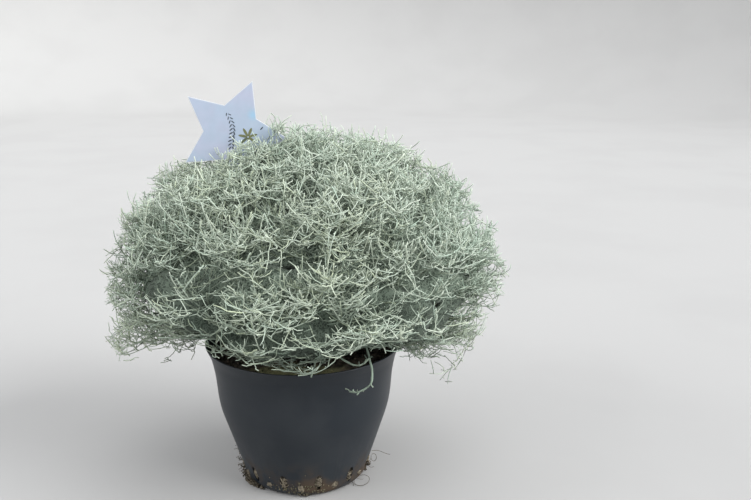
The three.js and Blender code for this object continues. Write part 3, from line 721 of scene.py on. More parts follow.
@dataclass
class Bush:
    """The bush: stems, main twigs and finer orders on a dark core of painted shade, in a piece for each
    spray.

    Attributes:
        form, star: what the twigs stay inside and clear of.
        label_gap: distance of the twigs from the label.
        levelling: how much of a random aside is kept along each axis.
        inner_tone, tone_rise, right_tone: painted shade deep inside the bush, and the painted light that open
            places and the right side add.
        main_..., fringe_..., wisp_...: how many main twigs of each kind there are, where they end and how far
            they may hang below the skirt.
        fringe_crowding: how much closer the fringe stands in front.
        least_share: share of the reach below which finer twigs are left out.
        core_share, core_fall, core_least: the core's reach, what it loses low down, and its least distance.
        core_lift: how far the core stays above the foliage's edge, at the sides and in front.
        core_tone, core_hue: its painted shade low at the sides, and its hue.
        core_shade, core_light: how much darker its painted shade is in front, and the painted light added up
            where it is lit.
        core_lit: heights above the skirt between which it comes into the light.
        cell_fill: share of its cell that a spray's core fills.
    """

    form: BushForm
    star: Star
    material: Material
    seed: int = 7
    label_gap: float = 2.2
    levelling: Triple = (1.0, 1.0, 0.22)
    inner_tone: float = 0.16
    tone_rise: float = 0.68
    right_tone: float = 0.07
    main_count: int = 2240
    main_distance: Span = (0.78, 0.94)
    main_aside: Span = (8.0, 34.0)
    main_drop: Span = (-12.0, 2.0)
    fringe_count: int = 240
    fringe_crowding: float = 0.4
    fringe_reach: Span = (86.0, 150.0)
    fringe_height: Span = (3.0, 16.0)
    fringe_drop: Span = (-8.0, 3.0)
    wisp_count: int = 120
    wisp_azimuth: Span = (-0.6, 0.6)
    wisp_reach: Span = (106.0, 206.0)
    wisp_fall: Span = (-36.0, 24.0)
    wisp_drop: Span = (20.0, 32.0)
    least_share: float = 0.83
    core_share: float = 0.79
    core_fall: float = 0.12
    core_least: float = 112.0
    core_lift: Span = (21.0, 13.0)
    core_thickness: float = 8.0
    core_grid: tuple[int, int] = (7, 44)
    core_tone: float = 0.02
    core_hue: float = 0.4
    core_shade: float = 0.011
    core_light: float = 0.04
    core_lit: Span = (30.0, 76.0)
    cell_fill: float = 0.998
    soil_top: float = 134.0
    stem_steps: int = 10
    stem_radii: Span = (3.0, 1.8)
    sprays: list[Spray] = field(
        default_factory=lambda: [spray for ring in SPRAY_RINGS for spray in ring.sprays()]
    )

    def __post_init__(self) -> None:
        """Starts the bush's own random draws and stacks the sprays' middles and knees."""
        self.random = np.random.default_rng(self.seed)
        self.middles = np.array([spray.middle for spray in self.sprays])
        self.below = np.array([spray.middle for spray in BELOW_RING.sprays()])
        self.collars = np.array([spray.hole for spray in self.sprays]) + (0, 0, self.soil_top + 8)
        head = self.form.crown + self.middles * (self.form.reach(self.middles) * self.core_share)[:, None]
        self.knees = self.collars + (head - self.collars) * 0.45
        self.knees[:, 2] = np.maximum(self.knees[:, 2], self.collars[:, 2] + 24)

    def draw(self, span: Span, count: int) -> Array:
        """Random numbers between two ends."""
        return self.random.uniform(*span, count)

    def ball(self, count: int) -> Array:
        """Random unit directions."""
        return unit(self.random.normal(size=(count, 3)))

    def tones(self, points: Array) -> Array:
        """Tone from how open a point lies: painted shade dark inside the bush, painted light outside, paler
        to the right.
        """
        right = np.clip(points[..., 0] / 150, -0.2, 1)
        return self.inner_tone + self.tone_rise * self.form.openness(points) + self.right_tone * right

    def patch(self, points: Array) -> Array:
        """Slow change of hue over the bush, yellower towards the upper left and the edges."""
        x, _, z = np.moveaxis(points, -1, 0)
        return 0.12 * np.sin(0.021 * x + 1.1) * np.cos(0.024 * z) + 0.1 * smooth_step(40, -150, x)

    def finished(self, points: Array, habit: Habit, axes: Array, owner: Array, drop: Array) -> Twigs:
        """Curves with a twig's small kinks, held inside the bush's form and off the label."""
        count = len(points)
        points[:, 1:] += habit.kink * self.random.normal(size=(count, habit.steps - 1, 3))
        held = self.form.hold(points, self.draw(habit.loose, count), drop)
        held = self.star.clear(held, self.label_gap)
        stops = np.linspace(0, 1, len(habit.radii))
        radii = np.interp(np.linspace(0, 1, habit.steps), stops, habit.radii)
        knobs = self.random.uniform(0.84, 1.22, (count, habit.steps))
        hue = np.clip(0.45 + 0.14 * self.random.normal(size=count) + self.patch(held[:, -1]), 0.12, 0.98)
        shade = habit.shade + 0.07 * self.random.normal(size=count)
        return Twigs(held, radii * knobs, axes, owner, hue, shade, drop, habit.sides)

    def main_twigs(self) -> Twigs:
        """Main twigs from each spray's knee to places spread evenly over the outline.

        Directions follow a spiral of golden angles over the sphere. Those nearest to a spray's middle are its
        own, and those nearest to the ring below the bush are left out.
        """
        number = np.arange(self.main_count) + 0.5
        height = 1 - 2 * number / self.main_count
        directions = level_direction(GOLDEN_ANGLE * number) * np.sqrt(1 - height**2)[:, None]
        directions[:, 2] = height
        directions = unit(directions + 0.05 * self.ball(self.main_count))
        nearest = np.argmax(directions @ np.concatenate([self.middles, self.below]).T, axis=1)
        reach = self.form.reach(directions)
        wanted = (reach / reach.max()) ** 1.5 > self.random.uniform(0, 1, self.main_count)
        kept = np.flatnonzero((nearest < len(self.middles)) & wanted)
        directions, count = directions[kept], len(kept)
        aside = square_to(self.ball(count) + 0.45 * UP, directions)
        distance = self.form.reach(directions) * self.draw(self.main_distance, count)
        shift = aside * self.draw(self.main_aside, count)[:, None]
        end = self.form.crown + directions * distance[:, None] + shift
        return self.limbs(end, aside, nearest[kept], self.main_drop)

    def fringe_twigs(self) -> Twigs:
        """Main twigs that end just above the skirt, all round the pot's rim and closest together in front."""
        count = self.fringe_count
        azimuth = GOLDEN_ANGLE * np.arange(count)
        azimuth = azimuth - self.fringe_crowding * np.cos(azimuth)
        end = level_direction(azimuth) * self.draw(self.fringe_reach, count)[:, None]
        end[:, 2] = self.form.skirt(end) + self.draw(self.fringe_height, count)
        return self.low_limbs(end, azimuth, self.fringe_drop, MAIN_TWIGS)

    def wisp_twigs(self) -> Twigs:
        """A few main twigs that stand out below the dense foliage on the left and right."""
        count = self.wisp_count
        azimuth = math.pi * (np.arange(count) % 2) + self.draw(self.wisp_azimuth, count)
        end = level_direction(azimuth) * self.draw(self.wisp_reach, count)[:, None]
        far_out = 0.3 + 0.7 * (end[:, 0] / self.wisp_reach[1]) ** 2
        end[:, 2] = self.form.skirt(end) - self.draw(self.wisp_fall, count) * far_out
        return self.low_limbs(end, azimuth, self.wisp_drop, WISP_TWIGS)

    def low_limbs(self, end: Array, azimuth: Array, drops: Span, habit: Habit) -> Twigs:
        """Main twigs to given ends at given azimuths, out of the low spray that is nearest to each."""
        level = level_direction(azimuth)
        aside = square_to(self.ball(len(end)) * self.levelling, level)
        low = np.flatnonzero([spray.name.startswith("spray_low") for spray in self.sprays])
        owner = low[np.argmax(level @ self.middles[low].T, axis=1)]
        return self.limbs(end, aside, owner, drops, habit)

    def limbs(self, end: Array, aside: Array, owner: Array, drops: Span, habit: Habit = MAIN_TWIGS) -> Twigs:
        """Cubic curves from each spray's knee to given ends, where they turn aside.

        Args:
            end: where they end, (count, 3).
            aside: the way that each one turns there, (count, 3).
            owner: number of each one's spray, (count,).
            drops: span of how far they may hang below the skirt.
            habit: their thickness and kinks.

        Returns:
            The curves, without those that are missing where twigs are sparse.
        """
        count = len(end)
        start = self.knees[owner] + self.random.normal(size=(count, 3)) * 1.5
        chord = np.linalg.norm(end - start, axis=-1, keepdims=True)
        heading = unit(end - start)
        first = start + (end - start) * 0.35 + self.ball(count) * 6 + 0.12 * chord * UP
        second = end - unit(heading + 0.9 * aside) * chord * 0.3
        share = np.linspace(0, 1, habit.steps)[None, :, None]
        points = bezier([place[:, None] for place in (start, first, second, end)], share)
        drop = self.draw(drops, count)
        kept = np.flatnonzero(self.random.uniform(0, 1, count) > self.form.sparseness(end, drop))
        axes = unit(np.cross(heading, aside))
        return self.finished(points[kept], habit, axes[kept], owner[kept], drop[kept])

    def hanging_twigs(self) -> Twigs:
        """Twigs that hang over the rim in front, as cubic splines through the places of their routes."""
        names = [spray.name for spray in self.sprays]
        routes = [np.array(route, float) for _, route in HANGING_ROUTES]
        points = np.stack([spline(route, HANGING_TWIGS.steps) for route in routes])
        owner = np.array([names.index(name) for name, _ in HANGING_ROUTES])
        axes = np.tile((0.0, 1.0, 0.3), (len(owner), 1))
        drop = np.full(len(owner), self.form.hanging_drop + 10)
        return self.finished(points, HANGING_TWIGS, axes, owner, drop)

    def grown(self, orders: list[Twigs], habit: Habit) -> list[Twigs]:
        """Twigs of one habit on each of the given orders, without the orders that end up empty."""
        made = [self.branches(parents, habit) for parents in orders]
        return [twigs for twigs in made if len(twigs.points)]

    def branches(self, parents: Twigs, habit: Habit) -> Twigs:
        """Twigs that grow out of other twigs.

        Each one leaves its parent at a splay angle and follows root + L (t h + c t^2 b / 2 + w t^3 s / 3).
        Here h is its heading, b the way that it bends, s the direction square to both, c its curl and w its
        twist.

        Args:
            parents: the twigs that they grow out of.
            habit: how they grow.

        Returns:
            The new twigs.
        """
        parent, share = self.spots(parents, habit)
        count = len(parent)
        root, along = parents.at(parent, share)
        outward = unit(root - self.form.crown)
        hand = np.where(np.arange(count) % 2 == 0, 1.0, -1.0)[:, None]
        turned = hand * square_to(np.cross(along, UP), along)
        loose = self.ball(count) * self.levelling * (1 - habit.comb) + habit.comb * turned
        aside = square_to(loose + habit.outward * outward + habit.rise * UP, along)
        splay = np.radians(self.draw(habit.splay, count))[:, None]
        heading = along * np.cos(splay) + aside * np.sin(splay)
        bend = square_to(0.8 * self.ball(count) + habit.lift * UP + 0.3 * habit.outward * outward, heading)
        third = np.cross(heading, bend)
        length, curl = (self.draw(span, count)[:, None, None] for span in (habit.length, habit.curl))
        twist = self.random.normal(size=(count, 1, 1)) * habit.twist
        step = np.linspace(0, 1, habit.steps)[None, :, None]
        course = step * heading[:, None] + curl * step**2 * bend[:, None] / 2
        points = root[:, None] + length * (course + twist * step**3 * third[:, None] / 3)
        drop = parents.drop[parent] + self.draw((-3, 3), count)
        kept = np.flatnonzero(self.is_wanted(points, drop) & (root[:, 2] > habit.least_height))
        return self.finished(points[kept], habit, third[kept], parents.owner[parent[kept]], drop[kept])

    def spots(self, parents: Twigs, habit: Habit) -> tuple[Array, Array]:
        """Evenly spaced roots along the parents' total length, each moved a little at random."""
        ends = np.cumsum(parents.lengths())
        count = round(ends[-1] * (habit.start[1] - habit.start[0]) / habit.spacing)
        place = (np.arange(count) + self.draw((0, 1), count)) / count * ends[-1]
        parent = np.minimum(np.searchsorted(ends, place), len(ends) - 1)
        length = parents.lengths()[parent]
        share = np.clip((place - (ends[parent] - length)) / length, 0, 1)
        return parent, habit.start[0] + share * (habit.start[1] - habit.start[0])

    def is_wanted(self, points: Array, drop: Array) -> Array:
        """Whether twigs are grown: not where they would stay inside the core or hang below the skirt.

        Some are left out where the foliage is sparse.
        """
        form, tips = self.form, points[:, -1]
        shown = (form.share(tips) > self.least_share) | (form.openness(tips) > 0.3)
        shown |= (drop > form.hanging_drop) | (form.lowness(tips) > 0.4)
        hangs = (points[..., 2] < form.floor(points, drop[:, None]) - 2).any(axis=1)
        return shown & ~hangs & (self.random.uniform(0, 1, len(tips)) > form.sparseness(tips, drop))

    def core(self, number: int) -> Surface:
        """Dark lumpy lobe behind a spray's twigs, painted shade for the bush's depths: a closed shell over
        its cell of directions.

        A grid of shares and turns about the spray's middle gives directions, out to the planes half way to
        each neighbour. The outer side lies at a share of the reach, with low bumps, and the inner side a few
        millimetres below it. Both stay above the foliage's edge.
        """
        spray = self.sprays[number]
        rows, columns = self.core_grid
        planes = unit(np.concatenate([np.delete(self.middles, number, axis=0), self.below]) - spray.middle)
        turns = -FULL_TURN * np.arange(columns)[:, None] / columns
        aside = np.cross(spray.middle, spray.side()) * np.cos(turns) + spray.side() * np.sin(turns)
        across = aside @ planes.T
        angles = np.where(across > 0, np.arctan2(-(planes @ spray.middle), np.maximum(across, 1e-9)), math.pi)
        angle = (np.linspace(0.15, 1, rows)[:, None] * angles.min(axis=1) * self.cell_fill)[..., None]
        directions = spray.middle * np.cos(angle) + aside * np.sin(angle)
        x, y, z = np.moveaxis(directions, -1, 0)
        bumps = 0.018 * (np.sin(31 * x) * np.sin(29 * y) + np.sin(37 * z + 9 * x))
        share = self.core_share + bumps - self.core_fall * smooth_step(0.55, 0.25, z)
        outer = np.maximum(self.form.reach(directions) * share, self.core_least)[..., None]
        shell = np.concatenate([directions * (outer - self.core_thickness), (directions * outer)[::-1]])
        reach = self.form.reach(spray.middle[None]) * self.core_share
        poles = spray.middle * np.stack([reach - self.core_thickness, reach])
        corners = self.form.crown + np.concatenate([shell.reshape(-1, 3), poles])
        in_front = smooth_step(0.35, 0.75, -unit(corners * (1, 1, 0))[:, 1])
        lift = self.core_lift[0] + (self.core_lift[1] - self.core_lift[0]) * in_front
        corners = self.form.hold(corners[:, None], np.zeros(len(corners)), -lift, is_core=True)[:, 0]
        lit = smooth_step(*self.core_lit, corners[:, 2] - self.form.skirt(corners))
        place = np.arange(len(corners))
        # Painted shade: darker in front and low at the sides, with painted light added higher up where it is
        # lit.
        tone = self.core_tone - self.core_shade * in_front + self.core_light * lit + CORE_STEP * (place % 7)
        values = np.stack([tone, self.core_hue + CORE_STEP * (place % 5)], -1)
        return Surface(corners, capped_faces(2 * rows, columns), values)

    def stem(self, number: int) -> Surface:
        """Woody stem of a spray, from its hole in the soil to the knee, along a quadratic curve."""
        spray, collar, knee = self.sprays[number], self.collars[number], self.knees[number]
        foot = spray.hole + (0, 0, self.soil_top - 24)
        middle = (collar + knee) / 2 + (0, 0, 6)
        curve = bezier([collar, middle, knee], np.linspace(0, 1, self.stem_steps)[:, None])
        step = np.arange(self.stem_steps + 1)
        radii = np.interp(step, [1, self.stem_steps], self.stem_radii)[None] * (1 + 0.08 * np.sin(step * 2.3))
        axis = (spray.side() + (0, 0, 0.2))[None]
        points, tones = np.vstack([foot, curve])[None], np.full((1, len(step)), 0.5)
        return tubes(points, radii, axis, 10, tones, np.array([0.03]))

    def surface_of(self, order: Twigs, number: int) -> Surface:
        """Tubes along those curves of an order that belong to one spray."""
        own = np.flatnonzero(order.owner == number)
        tones = self.tones(order.points[own]) + order.shade[own][:, None]
        return tubes(order.points[own], order.radii[own], order.axes[own], order.sides, tones, order.hue[own])

    def build(self) -> None:
        """Grows every twig and makes one piece for each spray."""
        hanging = self.hanging_twigs()
        mains = [self.main_twigs(), self.fringe_twigs(), self.wisp_twigs()]
        arcs = self.grown(mains, ARC_TWIGS)
        sides = self.grown(mains + arcs, SIDE_TWIGS)
        tips = self.grown(arcs + sides, TIP_TWIGS)
        spires = self.grown(arcs + sides, SPIRES)
        spurs = self.grown(arcs + sides + tips, SPURS)
        spurs += self.grown(spires, SPIRE_SPURS) + self.grown([hanging], HANGING_SPURS)
        orders = [hanging, *mains, *arcs, *sides, *tips, *spires, *spurs]
        for number, spray in enumerate(self.sprays):
            parts = [self.core(number), self.stem(number)]
            parts += [self.surface_of(order, number) for order in orders]
            piece = Surface.joined(parts).to_object(f"{spray.name}_twigs", self.material)
            dress(piece, Slot.TWIGS, spray.name)


@dataclass
class Wiring:
    """Nodes of one tree, each made, set and linked in one step."""

    tree: bpy.types.NodeTree

    def fill(self, node: bpy.types.Node, inputs: dict) -> None:
        """Links sockets to a node's inputs, and writes plain values into them."""
        for key, value in inputs.items():
            socket = node.inputs[key]
            if isinstance(value, Socket):
                self.tree.links.new(value, socket)
            elif socket.type == "RGBA":
                socket.default_value = (*value, 1.0)
            else:
                socket.default_value = value

    def add(self, kind: str, output: str | int, inputs: dict, **settings: object) -> Socket:
        """Adds a node.

        Args:
            kind: its type, without the prefix of shader nodes.
            output: the output to return.
            inputs: a socket or plain value for each input.
            settings: its own properties.

        Returns:
            That output's socket.
        """
        node = self.tree.nodes.new(f"ShaderNode{kind}")
        for key, value in settings.items():
            setattr(node, key, value)
        self.fill(node, inputs)
        return node.outputs[output]

    def shared(self, name: str, output: str, **values: float) -> Socket:
        """Adds a shared group with its own values."""
        return self.add("Group", output, values, node_tree=bpy.data.node_groups[name])

    def maths(self, operation: str, *values: Socket | float) -> Socket:
        """Adds a calculation."""
        return self.add("Math", 0, dict(enumerate(values)), operation=operation)

    def ranged(
        self, value: Socket, source: tuple, target: tuple = (0.0, 1.0), easing: str = "LINEAR"
    ) -> Socket:
        """Adds a node that leads the source's range to the target's."""
        ends = dict(zip(("From Min", "From Max", "To Min", "To Max"), (*source, *target)))
        return self.add("MapRange", "Result", {"Value": value, **ends}, interpolation_type=easing)

    def mix(
        self, first: Socket | Triple, second: Socket | Triple, factor: Socket | float, blend: str = "MIX"
    ) -> Socket:
        """Adds a mix of two colours, each a socket or a plain colour."""
        return self.add("Mix", 2, {0: factor, 6: first, 7: second}, data_type="RGBA", blend_type=blend)

    def ramp(self, factor: Socket, stops: tuple[tuple[float, Triple], ...]) -> Socket:
        """Adds a colour ramp with the given stops."""
        colour = self.add("ValToRGB", "Color", {"Fac": factor})
        elements = colour.node.color_ramp.elements
        while len(elements) < len(stops):
            elements.new(0.5)
        for element, (position, shade) in zip(elements, stops):
            element.position = position
            element.color = (*shade, 1.0)
        return colour

    def tone_and_hue(self) -> tuple[Socket, Socket]:
        """Adds nodes that read the tone and hue in the piece's own UV map."""
        tone = self.add("SeparateXYZ", 0, {0: self.add("UVMap", 0, {}, uv_map=VALUES_MAP)})
        return tone, tone.node.outputs[1]

    def finish(
        self, inputs: dict, relief: Socket | None = None, strength: float = 0.0, depth: float = 0.0003
    ) -> None:
        """Fills the shader's inputs, and leads a relief through a Bump node to its normal."""
        shader = self.tree.nodes["Principled BSDF"]
        self.fill(shader, inputs)
        if relief:
            bump = {"Strength": strength, "Distance": depth, "Height": relief}
            self.fill(shader, {"Normal": self.add("Bump", "Normal", bump)})


def new_material(name: str) -> tuple[Material, Wiring]:
    """Makes an empty node material and returns it with its wiring."""
    material = bpy.data.materials.new(name)
    material.use_nodes = True
    return material, Wiring(material.node_tree)


def new_group(
    name: str, inputs: dict[str, float], outputs: dict[str, str]
) -> tuple[Wiring, list[Socket], bpy.types.Node]:
    """Starts a shared node group.

    Args:
        name: its name.
        inputs: name and default of each number that it takes.
        outputs: name and socket type of each output.

    Returns:
        The wiring, the sockets of the inputs and of the place in object space, and the node of the outputs.
    """
    group = bpy.data.node_groups.new(name, "ShaderNodeTree")
    for key, value in inputs.items():
        group.interface.new_socket(key, in_out="INPUT", socket_type="NodeSocketFloat").default_value = value
    for key, kind in outputs.items():
        group.interface.new_socket(key, in_out="OUTPUT", socket_type=f"NodeSocket{kind}")
    entry, leaving = group.nodes.new("NodeGroupInput"), group.nodes.new("NodeGroupOutput")
    wiring = Wiring(group)
    taken = [entry.outputs[key] for key in inputs] + [wiring.add("TexCoord", "Object", {})]
    return wiring, taken, leaving


def make_groups() -> None:
    """Builds the shared groups, all in object space.

    The grain is a noise as a height, a shade from 0.5 to 1 and a mask. The net is thin bent lines where
    either of two noises passes its middle. The low mask is 1 at and below a low level and 0 at a high one.
    """
    outputs = {"Height": "Float", "Shade": "Color", "Mask": "Float"}
    wiring, (scale, detail, place), leaving = new_group("grain", {"Scale": 100.0, "Detail": 3.0}, outputs)
    noise = wiring.add("TexNoise", "Fac", {"Vector": place, "Scale": scale, "Detail": detail})
    shade = wiring.ranged(noise, (0.3, 0.7), (0.5, 1.0))
    wiring.fill(leaving, {"Height": noise, "Shade": shade, "Mask": wiring.ranged(noise, (0.45, 0.62))})

    outputs = {"Mask": "Float"}
    wiring, (scale, width, place), leaving = new_group("wire_net", {"Scale": 150.0, "Width": 0.03}, outputs)
    lines = []
    for turn in (0.0, 0.9):
        turned = wiring.add("Mapping", 0, {"Vector": place, "Rotation": (turn, 2 * turn, turn)})
        noise = wiring.add("TexNoise", "Fac", {"Vector": turned, "Scale": scale, "Detail": 1.0})
        lines.append(wiring.maths("COMPARE", noise, 0.5, width))
    wiring.fill(leaving, {"Mask": wiring.maths("MAXIMUM", *lines)})

    wiring, (low, high, place), leaving = new_group("low_mask", {"Low": 0.0, "High": 0.1}, outputs)
    height = wiring.add("SeparateXYZ", "Z", {0: place})
    wiring.fill(leaving, {"Mask": wiring.ranged(height, (low, high), (1.0, 0.0), "SMOOTHSTEP")})


@dataclass(frozen=True)
class TwigFinish:
    """Matt woolly silver twigs, darkened inside the bush by painted shade, with brown wood on the stems.

    Attributes:
        tones: colour for each tone, dark where the tone paints shade and pale where it paints light.
        tints: colour that each hue is multiplied by.
    """

    tones: tuple[tuple[float, Triple], ...] = (
        (0.0, (0.026, 0.034, 0.026)),
        (0.06, (0.075, 0.096, 0.074)),
        (0.25, (0.165, 0.203, 0.159)),
        (0.6, (0.340, 0.398, 0.320)),
        (1.0, (0.530, 0.588, 0.500)),
    )
    tints: tuple[tuple[float, Triple], ...] = (
        (0.0, (0.62, 0.45, 0.33)),
        (0.08, (0.62, 0.45, 0.33)),
        (0.12, (0.88, 0.97, 0.96)),
        (0.5, (1.0, 1.0, 1.0)),
        (0.95, (1.0, 1.0, 0.82)),
    )

    def build(self) -> Material:
        """Makes the material. A net of pale lines on the core stands for twigs, save where the painted shade
        is darkest.
        """
        material, wiring = new_material("silver_twigs")
        tone, hue = wiring.tone_and_hue()
        inside = wiring.ranged(tone, (0.3, 0.08))
        lit = wiring.ranged(tone, (0.0, 0.05), (0.0, inside))
        net = wiring.maths("MULTIPLY", wiring.shared("wire_net", "Mask", Scale=260.0, Width=0.05), lit)
        shown = wiring.maths("MULTIPLY_ADD", net, 0.24, tone)
        colour = wiring.mix(wiring.ramp(shown, self.tones), wiring.ramp(hue, self.tints), 1.0, "MULTIPLY")
        fleck = wiring.shared("grain", "Shade", Scale=420.0, Detail=3.0)
        flecked = wiring.mix(colour, fleck, 0.3, "MULTIPLY")
        plain = {"Roughness": 0.9, "Sheen Weight": 0.06, "Specular IOR Level": 0.2}
        wiring.finish({"Base Color": flecked, **plain}, fleck.node.outputs["Height"], 0.35)
        return material


@dataclass(frozen=True)
class PotFinish:
    """Dark slate moulded plastic with a soft gloss, scuffs and brown dirt near the foot."""

    colour: Triple = (0.012, 0.016, 0.021)
    scuff: Triple = (0.030, 0.034, 0.038)
    dirt: Triple = (0.060, 0.041, 0.026)

    def build(self) -> Material:
        """Makes the material from the shared grain and height masks."""
        material, wiring = new_material("pot_plastic")
        scuffed = wiring.mix(self.colour, self.scuff, wiring.shared("grain", "Mask", Scale=18.0, Detail=6.0))
        softened = wiring.mix(self.colour, scuffed, 0.35)
        low = wiring.shared("low_mask", "Mask", Low=0.004, High=0.05)
        dirty = wiring.maths("MULTIPLY", low, wiring.shared("grain", "Mask", Scale=45.0, Detail=8.0))
        inputs = {
            "Base Color": wiring.mix(softened, self.dirt, dirty),
            "Roughness": wiring.ranged(dirty, (0.0, 1.0), (0.42, 0.85)),
            "Specular IOR Level": 0.3,
        }
        wiring.finish(inputs, wiring.shared("grain", "Height", Scale=900.0, Detail=2.0), 0.12, 0.0002)
        return material


@dataclass(frozen=True)
class SoilFinish:
    """Dark peat with lighter fibres and an olive mossy patch in front."""

    dark: Triple = (0.055, 0.045, 0.033)
    light: Triple = (0.140, 0.112, 0.078)
    moss: Triple = (0.240, 0.235, 0.115)

    def build(self) -> Material:
        """Makes the material. The hue value of the map tells where moss grows."""
        material, wiring = new_material("soil")
        peat = wiring.mix(self.dark, self.light, wiring.shared("grain", "Mask", Scale=160.0, Detail=8.0))
        mossy = wiring.mix(peat, self.moss, wiring.tone_and_hue()[1])
        fine = wiring.shared("grain", "Shade", Scale=900.0, Detail=4.0)
        shaded = wiring.mix(mossy, fine, 0.8, "MULTIPLY")
        wiring.finish({"Base Color": shaded, "Roughness": 0.95}, fine.node.outputs["Height"], 0.8, 0.0012)
        return material


@dataclass(frozen=True)
class PlainFinish:
    """Matt finish with one grain over a two-colour mix."""

    name: str
    first: Triple
    second: Triple
    scale: float
    roughness: float
    relief: float = 0.3

    def build(self) -> Material:
        """Makes the material."""
        material, wiring = new_material(self.name)
        grain = wiring.shared("grain", "Mask", Scale=self.scale, Detail=4.0)
        inputs = {"Base Color": wiring.mix(self.first, self.second, grain), "Roughness": self.roughness}
        wiring.finish(inputs, grain.node.outputs["Height"], self.relief)
        return material


@dataclass(frozen=True)
class WashFinish:
    """Watercolour print in pale blues and violets with one brighter blue spot."""

    blue: Triple = (0.355, 0.425, 0.530)
    violet: Triple = (0.405, 0.430, 0.545)
    spot: Triple = (0.290, 0.460, 0.610)
    spot_at: Triple = (-0.0425, -0.004, 0.3655)
    spot_radius: float = 0.0075

    def build(self) -> Material:
        """Makes the material. The spot fades with the distance from its middle."""
        material, wiring = new_material("label_wash")
        colour = wiring.mix(self.blue, self.violet, wiring.shared("grain", "Mask", Scale=24.0, Detail=4.0))
        place = wiring.add("TexCoord", "Object", {})
        away = wiring.add("VectorMath", "Value", {0: place, 1: self.spot_at}, operation="DISTANCE")
        near = wiring.ranged(away, (self.spot_radius, 0.0), easing="SMOOTHSTEP")
        spotted = wiring.mix(colour, self.spot, near)
        fine = wiring.shared("grain", "Shade", Scale=110.0, Detail=3.0)
        wiring.finish({"Base Color": wiring.mix(spotted, fine, 0.12, "MULTIPLY"), "Roughness": 0.5})
        return material


@dataclass
class Pot:
    """Thin moulded pot with a flared rim, a smooth shoulder and drainage openings round the base corner.

    Attributes:
        outline: radius and height at the shoulder, the collar, the flare and the rim.
        cuts: rounding of the first three.
        drain_count: number of round holes, and of the tall slots between them.
        slot, hole: half width, half height and level of an opening.
    """

    material: Material
    wall: float = 1.6
    sides: int = 128
    foot_radius: float = 53.0
    corner_radius: float = 64.0
    corner_rise: float = 12.0
    outline: tuple[Span, ...] = ((86, 80), (89, 114), (92.5, 131), (97.5, 142.2))
    cuts: Triple = (12, 8, 4)
    drain_count: int = 12
    slot: Triple = (3.6, 9.0, 17.0)
    hole: Triple = (2.8, 2.8, 11.0)

    def profile(self) -> Array:
        """Half section from the middle of the foot up the outside, over the lip and down the inside."""
        turn = np.linspace(0, math.pi / 2, 8)
        bend = self.foot_radius + (self.corner_radius - self.foot_radius) * np.sin(turn)
        corner = np.stack([bend, self.corner_rise * (1 - np.cos(turn))], -1)
        side = filleted(np.concatenate([corner[-1:], self.outline]), np.array(self.cuts), 5)[1:]
        outer = np.concatenate([corner, side])
        inner = outer - (self.wall, 0)
        inner[: len(turn), 1] = self.wall + (self.corner_rise - self.wall) * (1 - np.cos(turn))
        half_turn = np.linspace(0, math.pi, 6)[1:-1]
        lip = outer[-1] - (self.wall / 2, 0)
        lip = lip + self.wall / 2 * np.stack([np.cos(half_turn), np.sin(half_turn)], -1)
        return np.concatenate([[(0, 0)], outer, lip, inner[::-1], [(0, self.wall)]])

    def wall_radius(self, height: Array) -> Array:
        """Outer radius of the lower wall at a height."""
        in_corner = np.clip(height / self.corner_rise, 0, 1)
        bend = (self.corner_radius - self.foot_radius) * np.sqrt(1 - (1 - in_corner) ** 2)
        slope = (self.outline[0][0] - self.corner_radius) / (self.outline[0][1] - self.corner_rise)
        return self.foot_radius + bend + np.maximum(height - self.corner_rise, 0) * slope

    def openings(self) -> tuple[Array, Array]:
        """Azimuth of each drainage opening, and its half width, half height and level, (n, 3)."""
        number = np.arange(2 * self.drain_count)
        azimuth = FRONT_AZIMUTH + FULL_TURN * number / len(number)
        return azimuth, np.where(number[:, None] % 2 == 1, self.slot, self.hole)

    def cutter(self, corners_round: int = 20) -> Piece:
        """Bars with an oval section that cut the drainage openings, as one object."""
        azimuth, sizes = self.openings()
        width, height, level = sizes.T[..., None, None, None]
        outward, aside = (level_direction(azimuth + turn)[:, None, None] for turn in (0, math.pi / 2))
        turn = (FULL_TURN * np.arange(corners_round) / corners_round)[:, None]
        run = np.array([self.foot_radius - 6, self.corner_radius + 40])[:, None, None]
        corners = outward * run + aside * width * np.cos(turn) + UP * (level + height * np.sin(turn))
        starts = 2 * corners_round * np.arange(len(azimuth))[:, None, None]
        faces = (tube_faces(2, corners_round) + starts).reshape(-1, 3)
        return Surface(corners.reshape(-1, 3), faces).to_object("drain_cutter", self.material)

    def build(self) -> None:
        """Turns the wall, cuts the openings and rounds the shading."""
        body = revolved(self.profile(), self.sides).to_object("pot_wall", self.material)
        cutter = self.cutter()
        cut = body.modifiers.new("drains", "BOOLEAN")
        cut.operation = "DIFFERENCE"
        cut.solver = "MANIFOLD"
        cut.object = cutter
        shown = body.evaluated_get(bpy.context.evaluated_depsgraph_get())
        mesh = bpy.data.meshes.new_from_object(shown)
        body.modifiers.clear()
        body.data = mesh
        bpy.data.objects.remove(cutter)
        mesh.polygons.foreach_set("use_smooth", np.ones(len(mesh.polygons), dtype=bool))
        mesh.set_sharp_from_angle(angle=math.radians(40))
        dress(body, Slot.POT, "pot")


LUMP_CORNERS = np.array(
    [(1, 0, 0), (-1, 0, 0), (0, 1, 0), (0, -1, 0), (0, 0, 1), (0, 0, -1)]
    + [(x, y, z) for x in (0.7, -0.7) for y in (0.7, -0.7) for z in (0.7, -0.7)]
)


def lump_faces() -> Array:
    """Faces of one lump: each axis corner is joined to the four diagonal corners round it."""
    axis, diagonal = LUMP_CORNERS[:6], LUMP_CORNERS[6:]
    faces = []
    for number, middle in enumerate(axis):
        near = np.flatnonzero(diagonal @ middle > 0)
        side = np.roll(middle, 1)
        turn = np.cross(middle, side)
        order = near[np.argsort(np.arctan2(diagonal[near] @ turn, diagonal[near] @ side))] + len(axis)
        faces += [(number, order[i], order[(i + 1) % 4]) for i in range(4)]
    return np.array(faces)


